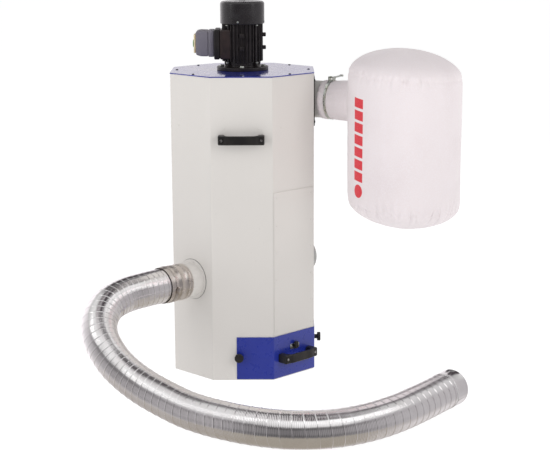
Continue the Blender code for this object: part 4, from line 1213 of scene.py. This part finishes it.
def make_handle(name, origin, normal, node, body="cabinet"):
    """A moulded bridge handle: flat feet with counterbored screws, and a bar arched out between them."""
    outer, inner = 0.0695, 0.0505
    right = [(inner, GAP), (outer, GAP), (outer, 0.0335), (0.0515, 0.0345), (0.0430, 0.0380),
             (0.0330, 0.0390)]
    arch = [(0.0400, 0.0285), (0.0462, 0.0262), (0.0490, 0.0215)]
    outline = right + [(-x, y) for x, y in reversed(right)] + [(-x, y) for x, y in reversed(arch)] + arch
    radii = [0, 0, 0.003, 0.008, 0.012, 0.020, 0.020, 0.012, 0.008, 0.003, 0, 0,
             0.004, 0.004, 0.010, 0.010, 0.004, 0.004]
    bar = extrude(rounded(outline, radii, 4), -0.0138, 0.0138, 0.0022)
    for v in bar.verts:
        x = abs(v.co.x)
        if x < 0.050:
            v.co.z *= 0.945 + 0.055 * (x / 0.050) ** 3
    transform(bar, turned(90, "X"))        # out of the face is now along z
    wells = [lathe([(0, 0.05), (0.0056, 0.05), (0.0056, 0.0345), (0.0052, 0.0335), (0.0052, 0.0300), (0, 0.0300)],
                   40, False, shifted(x, 0, 0)) for x in (-SCREWS_APART / 2, SCREWS_APART / 2)]
    bar = carve(bar, wells)
    transform(bar, placed(origin, normal))
    new_piece(name, bar, PLASTIC, [node], 32, body)
    for label, x in (("left", -SCREWS_APART / 2), ("right", SCREWS_APART / 2)):
        head = lathe([(0.0, 0.0330), (0.0017, 0.0332), (0.0022, 0.0340), (0.0038, 0.0338), (0.0045, 0.0328),
                      (0.0045, 0.0303), (0.0, 0.0303)], 36, False,
                     placed(origin, normal) @ shifted(x, 0, 0))
        new_piece(f"{name}_{label}_bolt", head, TURNED, [f"{node}_{label}_screw"], body=body)


# ---- drawer -------------------------------------------------------------------------------------------
WING_END = -0.020
PROUD = 0.0005
KNOB_X, KNOB_Z = -0.0125, 0.075


def wrap_outline(out, end):
    across = HALF + out
    half = FACE / 2 + out * tan(pi / 8)
    return [(end, -across), (half, -across), (across, -half), (across, -end)]


def wrap_path(out, end, bend):
    """Plan of the drawer front's strip with rounded folds."""
    points = wrap_outline(out, end)
    path = [points[0]]
    for i in (1, 2):
        corner = rounded([points[i - 1], points[i], points[i + 1], (points[i][0] - 1, points[i][1] + 1)],
                         [0, bend, 0, 0], 6)
        path += corner[1:8]
    return path + [points[3]]


def make_drawer():
    outer = wrap_path(PROUD + SHEET, WING_END, 0.0045)
    inner = wrap_path(PROUD, WING_END, 0.0030)
    front = extrude(outer + inner[::-1], 0.003, DRAWER_TOP, 0.0004)
    front = carve(front, [disc_cutter(0.0048, -0.02, 0.02, placed(origin, normal))
                          for _, origin, normal in KNOBS])
    new_piece("drawer_face", front, BLUE, ["drawer_front"], 30, "drawer")
    origin = face_point(RIGHT_FRONT, 0.066, PROUD + SHEET)
    make_handle("drawer_pull", origin, RIGHT_FRONT, "drawer_handle", "drawer")


KNOBS = [("left_knob", Vector((KNOB_X, -HALF - PROUD - SHEET, KNOB_Z)), FRONT),
         ("right_knob", Vector((HALF + PROUD + SHEET, -KNOB_X, KNOB_Z)), RIGHT)]


def make_knobs():
    for node, origin, normal in KNOBS:
        profile = [(0.0, 0.0206), (0.0070, 0.0206), (0.0078, 0.0213)] + \
            arc((0.0118, 0.0193), 0.0022, 90, 0, 4) + [(0.0140, 0.0165)] + \
            arc((0.0122, 0.0123), 0.0018, 0, -90, 3) + \
            [(0.0085, 0.0105), (0.0070, 0.0095), (0.0070, GAP), (0.0040, GAP), (0.0040, -SHEET),
             (0.0, -SHEET)]
        knob = lathe(profile, 120)
        for v in knob.verts:
            reach = hypot(v.co.x, v.co.y)
            if reach > 0.0095 and v.co.z > 0.0105:
                angle = atan2(v.co.y, v.co.x)
                scoop = max(0.0, cos(angle * 12)) ** 3
                factor = 1 - 0.055 * scoop * (reach - 0.0095) / 0.0045
                v.co.x *= factor
                v.co.y *= factor
        transform(knob, placed(origin, normal))
        new_piece(f"{node}_head", knob, PLASTIC, [node], body=node + "_body")


def make_catch():
    here = placed(face_point(RIGHT_FRONT, 0.093, PROUD + SHEET), RIGHT_FRONT)
    plate = extrude(rounded([(-0.020, -0.008), (0.020, -0.008), (0.020, 0.008), (-0.020, 0.008)], 0.0035),
                    GAP, 0.0018, 0.0004, None, here)
    new_piece("catch_keeper", plate, ZINC, ["catch_plate"], body="drawer")
    turn = extrude(rounded([(-0.0075, -0.0065), (0.0075, -0.0065), (0.0068, 0.0160), (-0.0068, 0.0160)], 0.0030),
                   0.0050, 0.0118, 0.0012, None, here)
    add_shape(turn, lathe([(0.0, 0.0060), (0.0055, 0.0060), (0.0055, 0.0021), (0.0, 0.0021)], 32, False, here))
    add_shape(turn, soft_box((-0.0045, 0.0085, 0.0112), (0.0045, 0.0100, 0.0120), 0.0004, 2, here))
    add_shape(turn, soft_box((-0.0045, 0.0118, 0.0112), (0.0045, 0.0133, 0.0120), 0.0004, 2, here))
    new_piece("catch_turn_key", turn, PLASTIC, ["drawer_catch"], body="catch")
    for side, x in (("left", -0.0135), ("right", 0.0135)):
        head = transform(cross_screw(0.0035, 0.0024), here @ shifted(x, 0, 0.0021))
        new_piece(f"catch_{side}_head", head, TURNED, [f"catch_{side}_screw"], body="drawer")


# ---- motor --------------------------------------------------------------------------------------------
FLANGE_TOP, SHIELD_TOP = 0.9515, 0.9680
BODY_TOP = 1.0830
COWL_LOW, COWL_TOP = 1.0840, 1.1520
FIN_ROOT, FIN_TIP, STATOR_BORE = 0.0565, 0.0635, 0.0525
FINS = 32
BOLTS, CORNERS = (0, 90, 180, 270), (45, 135, 225, 315)
BOLT_CIRCLE = 0.065       # radius


def around(angles, radius, z=0.0):
    """Matrices that put a template at the given angles round the motor's axis, local X outwards."""
    return [turned(a) @ shifted(radius, 0, z) for a in angles]


def make_motor_flange():
    low = TOP_FACE + GAP
    profile = [(0.0180, 0.9660), (0.0180, SHIELD_TOP), (0.0558, SHIELD_TOP), (0.0563, SHIELD_TOP - 0.0005),
               (0.0563, SHIELD_TOP - 0.0030), (0.0548, SHIELD_TOP - 0.0040)] + \
        arc((0.0572, FLANGE_TOP + 0.0030), 0.0030, 180, 270, 5) + \
        [(0.0786, FLANGE_TOP), (0.0796, FLANGE_TOP - 0.0004), (0.0800, FLANGE_TOP - 0.0014),
         (0.0800, low + 0.0062), (0.0793, low + 0.0055), (0.0793, low + 0.0040), (0.0800, low + 0.0033),
         (0.0800, low + 0.0010), (0.0794, low), (0.0475, low), (0.0475, 0.9375), (0.0100, 0.9375),
         (0.0100, 0.9520), (0.0180, 0.9520)]
    shield = lathe(profile, 128, True)
    shield = carve(shield, [copies(disc_cutter(0.0050, 0.93, 0.96, Matrix()), around(BOLTS, BOLT_CIRCLE))])
    gusset = extrude(rounded([(-0.008, FLANGE_TOP - 0.001), (0.0140, FLANGE_TOP - 0.001),
                              (0.0135, FLANGE_TOP + 0.0015), (0.0030, SHIELD_TOP - 0.0035),
                              (-0.008, SHIELD_TOP - 0.0035)], [0, 0, 0.0008, 0.002, 0], 3),
                     -0.0034, 0.0034, 0.0010, None, turned(90, "X"))
    add_shape(shield, copies(gusset, around(CORNERS, 0.0600)))
    boss = lathe([(0.0, SHIELD_TOP - 0.0006), (0.0048, SHIELD_TOP - 0.0006), (0.0056, SHIELD_TOP - 0.0014),
                  (0.0056, SHIELD_TOP - 0.0090), (0.0, SHIELD_TOP - 0.0090)], 28)
    add_shape(shield, copies(boss, around((22, 68, 112, 158, 202, 248, 292, 338), 0.0540)))
    new_piece("flange_casting", shield, MOTOR, ["motor_flange"])
    for i, angle in enumerate(BOLTS):
        head = lathe([(0.0, FLANGE_TOP + 0.0055), (0.0052, FLANGE_TOP + 0.0055), (0.0064, FLANGE_TOP + 0.0050),
                      (0.0066, FLANGE_TOP + 0.0046), (0.0066, FLANGE_TOP + 0.0014), (0.0, FLANGE_TOP + 0.0014)], 6)
        washer = lathe([(0.0, FLANGE_TOP + 0.0014), (0.0072, FLANGE_TOP + 0.0014), (0.0075, FLANGE_TOP + 0.0011),
                        (0.0075, FLANGE_TOP + GAP), (0.0040, FLANGE_TOP + GAP), (0.0040, TOP_FACE + 0.001),
                        (0.0, TOP_FACE + 0.001)], 40)
        add_shape(head, washer)
        bolt = copies(head, around((angle,), BOLT_CIRCLE))
        new_piece(f"flange_screw_{i + 1}", bolt, ZINC, [f"flange_bolt_{i + 1}"], 25)


def fin_outline():
    """Plan of the extruded housing: thin round-nosed fins on a round body."""
    points = []
    pitch = 2 * pi / FINS
    for i in range(FINS):
        middle = i * pitch
        for offset, radius in ((-0.50, FIN_ROOT), (-0.30, FIN_ROOT), (-0.19, FIN_ROOT + 0.0008),
                               (-0.135, FIN_ROOT + 0.0025), (-0.105, FIN_TIP - 0.0008), (-0.055, FIN_TIP),
                               (0.055, FIN_TIP), (0.105, FIN_TIP - 0.0008), (0.135, FIN_ROOT + 0.0025),
                               (0.19, FIN_ROOT + 0.0008), (0.30, FIN_ROOT)):
            angle = middle + offset * pitch
            points.append((radius * cos(angle), radius * sin(angle)))
    return points


def make_motor_body():
    outline = fin_outline()
    bore = [(STATOR_BORE * cos(atan2(y, x)), STATOR_BORE * sin(atan2(y, x)))
            for x, y in outline]
    body = extrude(outline, SHIELD_TOP + GAP, BODY_TOP, 0.0, bore)
    pads = bmesh.new()
    for z in (1.0095, 1.0490):
        for spin in (turned(0), turned(-90)):
            soft_box((0.0545, -0.0065, z - 0.006), (0.0722, 0.0065, z + 0.006), 0.0012, 3, spin, pads)
            lathe([(0.0, 0.0729), (0.0024, 0.0729), (0.0030, 0.0718), (0.0036, 0.0718), (0.0040, 0.0730),
                   (0.0048, 0.0728), (0.0050, 0.0710), (0.0, 0.0710)], 24, False,
                  spin @ shifted(0, 0, z) @ turned(90, "Y"), pads)
    add_shape(body, pads)
    # the channels of the four tie rods
    rod = lathe([(0.0, BODY_TOP - 0.001), (0.0042, BODY_TOP - 0.001), (0.0042, SHIELD_TOP + 0.001),
                 (0.0, SHIELD_TOP + 0.001)], 20)
    add_shape(body, copies(rod, around(CORNERS, 0.0592)))
    new_piece("motor_body", body, MOTOR, ["motor_housing"], 28)
    nut = lathe([(0.0, 0.0042), (0.0040, 0.0042), (0.0052, 0.0034), (0.0052, 0.0), (0.0, 0.0)], 6)
    nuts = around(CORNERS, 0.0628, SHIELD_TOP - 0.0042) + around(CORNERS, 0.0628, BODY_TOP - 0.0048)
    new_piece("tie_bolts", copies(nut, nuts), ZINC, (), 25)


def make_motor_top():
    profile = [(0.0180, 1.0842), (0.0180, 1.0985), (0.0230, 1.0985), (0.0240, 1.0975), (0.0260, 1.0890),
               (0.0634, 1.0890), (0.0640, 1.0884), (0.0640, BODY_TOP + GAP), (0.0100, BODY_TOP + GAP),
               (0.0100, 1.0842)]
    new_piece("rear_shield", lathe(profile, 96, True), MOTOR,
              ["motor_rear_shield"])
    outer, wall, turn = 0.0685, 0.0012, 0.0085
    points = [(0.0, COWL_TOP - 0.0010), (0.0120, COWL_TOP - 0.0010), (0.0140, COWL_TOP), (0.0540, COWL_TOP)] + \
        arc((outer - turn, COWL_TOP - turn), turn, 84, 0, 9) + \
        [(outer, COWL_LOW + 0.0006), (outer - 0.0004, COWL_LOW)]
    inner = [(outer - wall, COWL_LOW), (outer - wall, COWL_TOP - turn)] + \
        arc((outer - turn, COWL_TOP - turn), turn - wall, 10, 84, 6) + \
        [(0.0540, COWL_TOP - wall), (0.0, COWL_TOP - wall - 0.0010)]
    cowl = lathe(points + inner, 128)
    slots = bmesh.new()
    for count, start, end, offset in ((10, 0.0165, 0.0270, 0.0), (20, 0.0300, 0.0400, 0.5),
                                      (28, 0.0430, 0.0535, 0.0)):
        for i in range(count):
            spin = turned(360 * (i + offset) / count)
            soft_box((start, -0.0020, COWL_TOP - 0.006), (end, 0.0020, COWL_TOP + 0.004), 0, 1, spin, slots)
    cowl = carve(cowl, [slots])
    new_piece("cowl", cowl, BLACK, ["fan_cowl"], 32)
    places = [place @ turned(90, "Y") for place in around((-100, -10, 80, 170), outer, 1.0905)]
    new_piece("cowl_screws", copies(dome(0.0034, 0.0018), places), ZINC)


def make_terminal_box():
    box = soft_box((-0.0687, -0.054, 0.976), (-0.0354, 0.054, 1.067), 0.0050, 4)
    box = carve(box, [disc_cutter(FIN_TIP + 0.0006, 0.96, 1.09, Matrix())])
    new_piece("junction_box", box, BOX_BROWN, ["terminal_box"], 28)
    lid = soft_box((-0.0862, -0.054, 0.976), (-0.0690, 0.054, 1.067), 0.0035, 3)
    for x in (-0.0725, -0.0785):
        soft_box((x - 0.0011, -0.0549, 0.9790), (x + 0.0011, 0.0549, 1.0640), 0.0009, 2, None, lid)
    for y in (-0.045, 0.045):
        for z in (0.9845, 1.0585):
            lathe([(0.0, 0.0), (0.0035, 0.0), (0.0045, 0.0006), (0.0045, 0.0100), (0.0, 0.0100)], 24, False,
                  shifted(-0.0866, y, z) @ turned(90, "Y"), lid)
    new_piece("junction_lid", lid, PLASTIC, ["terminal_box_lid"], 32)


def tapered_box(ends, radius, segments=3):
    """Loft between two upright rectangles given as (x, half width, low, high)."""
    shape = bmesh.new()
    rings = []
    for x, half, low, high in ends:
        rings.append([shape.verts.new((x, y, z)) for y, z in ((-half, low), (half, low), (half, high),
                                                              (-half, high))])
    for first, second in zip(rings, rings[1:]):
        bridge(shape, first, second)
    shape.faces.new(rings[0][::-1])
    shape.faces.new(rings[-1])
    bmesh.ops.recalc_face_normals(shape, faces=shape.faces)
    edges = [e for e in shape.edges if len(e.link_faces) == 2 and e.calc_face_angle(0) > 0.3]
    bmesh.ops.bevel(shape, geom=edges, offset=radius, segments=segments, profile=0.5, affect="EDGES",
                    clamp_overlap=True)
    return shape


def make_switch():
    body = tapered_box([(-0.0870, 0.0400, 0.9832, 1.0640), (-0.1045, 0.0400, 0.9832, 1.0640)], 0.0025)
    # a raised zigzag round the base's front and back
    for side in (-1, 1):
        points = [(-0.0905 if k % 2 else -0.1010, 0.990 + k * 0.0098) for k in range(8)]
        for (x0, z0), (x1, z1) in zip(points, points[1:]):
            middle, run = Vector(((x0 + x1) / 2, side * 0.0399, (z0 + z1) / 2)), Vector((x1 - x0, 0, z1 - z0))
            turn = Matrix.Translation(middle) @ Matrix.Rotation(-atan2(run.z, run.x), 4, "Y")
            soft_box((-run.length / 2 - 0.0006, -0.0007, -0.0008), (run.length / 2 + 0.0006, 0.0007, 0.0008),
                     0.0004, 2, turn, body)
    housing = tapered_box([(-0.1048, 0.0385, 0.9845, 1.0625), (-0.1290, 0.0392, 0.9850, 1.0635),
                           (-0.1427, 0.0385, 0.9900, 1.0610)], 0.0035, 4)
    add_shape(body, housing)
    for side in (-1, 1):
        soft_box((-0.1400, side * 0.0389 - 0.0006, 1.0548), (-0.1070, side * 0.0389 + 0.0006, 1.0560), 0.0004, 2,
                 None, body)
    new_piece("starter_body", body, GREY, ["switch_housing"], 32)
    cover = soft_box((-0.1498, -0.034, 0.995), (-0.1430, 0.034, 1.052), 0.0022, 4)
    start, stop = (placed(Vector((-0.1430, y, 1.0235)), LEFT) for y in (-0.0155, 0.0155))
    cover = carve(cover, [disc_cutter(0.0115, -0.01, 0.02, place) for place in (start, stop)])
    for place in (start, stop):
        lathe([(0.0115, 0.0070), (0.0122, 0.0074), (0.0130, 0.0072), (0.0132, 0.0062), (0.0115, 0.0062)], 48, True,
              place, cover)
    new_piece("starter_cover", cover, CREAM, ["switch_cover"], 32)
    for body, place, material, slot in (("start", start, GREEN, "start_green"), ("stop", stop, RED, "stop_red")):
        cap = lathe([(0.0, 0.0090), (0.0060, 0.0092), (0.0088, 0.0097)] + arc((0.0094, 0.0083), 0.0014, 90, 0, 4) +
                    [(0.0108, 0.0035), (0.0, 0.0035)], 56, False, place)
        new_piece(f"{body}_cap", cap, material, [f"{body}_button"], body=body)
    gland = lathe([(0.0, 0.0125), (0.0045, 0.0130), (0.0045, 0.0196), (0.0050, 0.0200), (0.0066, 0.0200),
                   (0.0085, 0.0165), (0.0085, 0.0108), (0.0072, 0.0104), (0.0072, 0.0100), (0.0100, 0.0098),
                   (0.0100, GAP), (0.0, GAP)], 48)
    for v in gland.verts:
        if v.co.z < 0.0099 and hypot(v.co.x, v.co.y) > 0.009:
            angle = atan2(v.co.y, v.co.x)
            flat = cos(pi / 6) / cos((angle % (pi / 3)) - pi / 6)
            v.co.x *= flat
            v.co.y *= flat
    transform(gland, placed(Vector((-0.1150, 0.040, 1.005)), BACK))
    new_piece("lead_gland", gland, PLASTIC, ["cable_gland"])


# ---- what stays as packed -----------------------------------------------------------------------------
def dress_cad():
    """Give every CAD part that still shows its procedural material."""
    finish = {"base_pan": PAINT, "fan_partition": PAINT, "fan_scroll": STEEL, "inlet_cone": STEEL,
              "drawer_bin": STEEL, "stator_core": STEEL, "rotor_core": ALLOY, "front_bearing": TURNED,
              "rear_bearing": TURNED, "motor_shaft": TURNED, "cooling_fan": PLASTIC, "impeller": ALLOY,
              "impeller_bolt": ZINC}
    by_slot = {"cabinet_paint": PAINT, "blue_paint": BLUE, "black_paint": BLACK, "motor_castings": MOTOR,
               "black_plastic": PLASTIC, "grey_plastic": GREY, "cap_plastic": PALE, "start_green": GREEN,
               "stop_red": RED, "bag_cloth": CLOTH, "duct_aluminium": DUCT, "zinc_steel": ZINC,
               "plain_steel": STEEL, "wheel_alloy": ALLOY}
    slots = {row["node"]: row["material_slot"] for row in frame["record"]["subparts"]}
    for node, thing in frame["nodes"].items():
        material = finish.get(node) or by_slot[slots[node]]
        thing.data.materials.clear()
        thing.data.materials.append(material)


make_camera()
make_floor()
make_light()
dress_cad()
make_cabinet()
make_inlets()
make_outlet()
make_bag_clamp()
make_bag()
make_handle("front_grip", face_point(FRONT, HANDLE_Z), FRONT, "front_handle")
make_handle("rear_grip", face_point(BACK, HANDLE_Z), BACK, "rear_handle")
make_drawer()
make_knobs()
make_catch()
make_motor_flange()
make_motor_body()
make_motor_top()
make_terminal_box()
make_switch()
make_duct_fittings()
duct, duct_line, duct_length = make_duct()
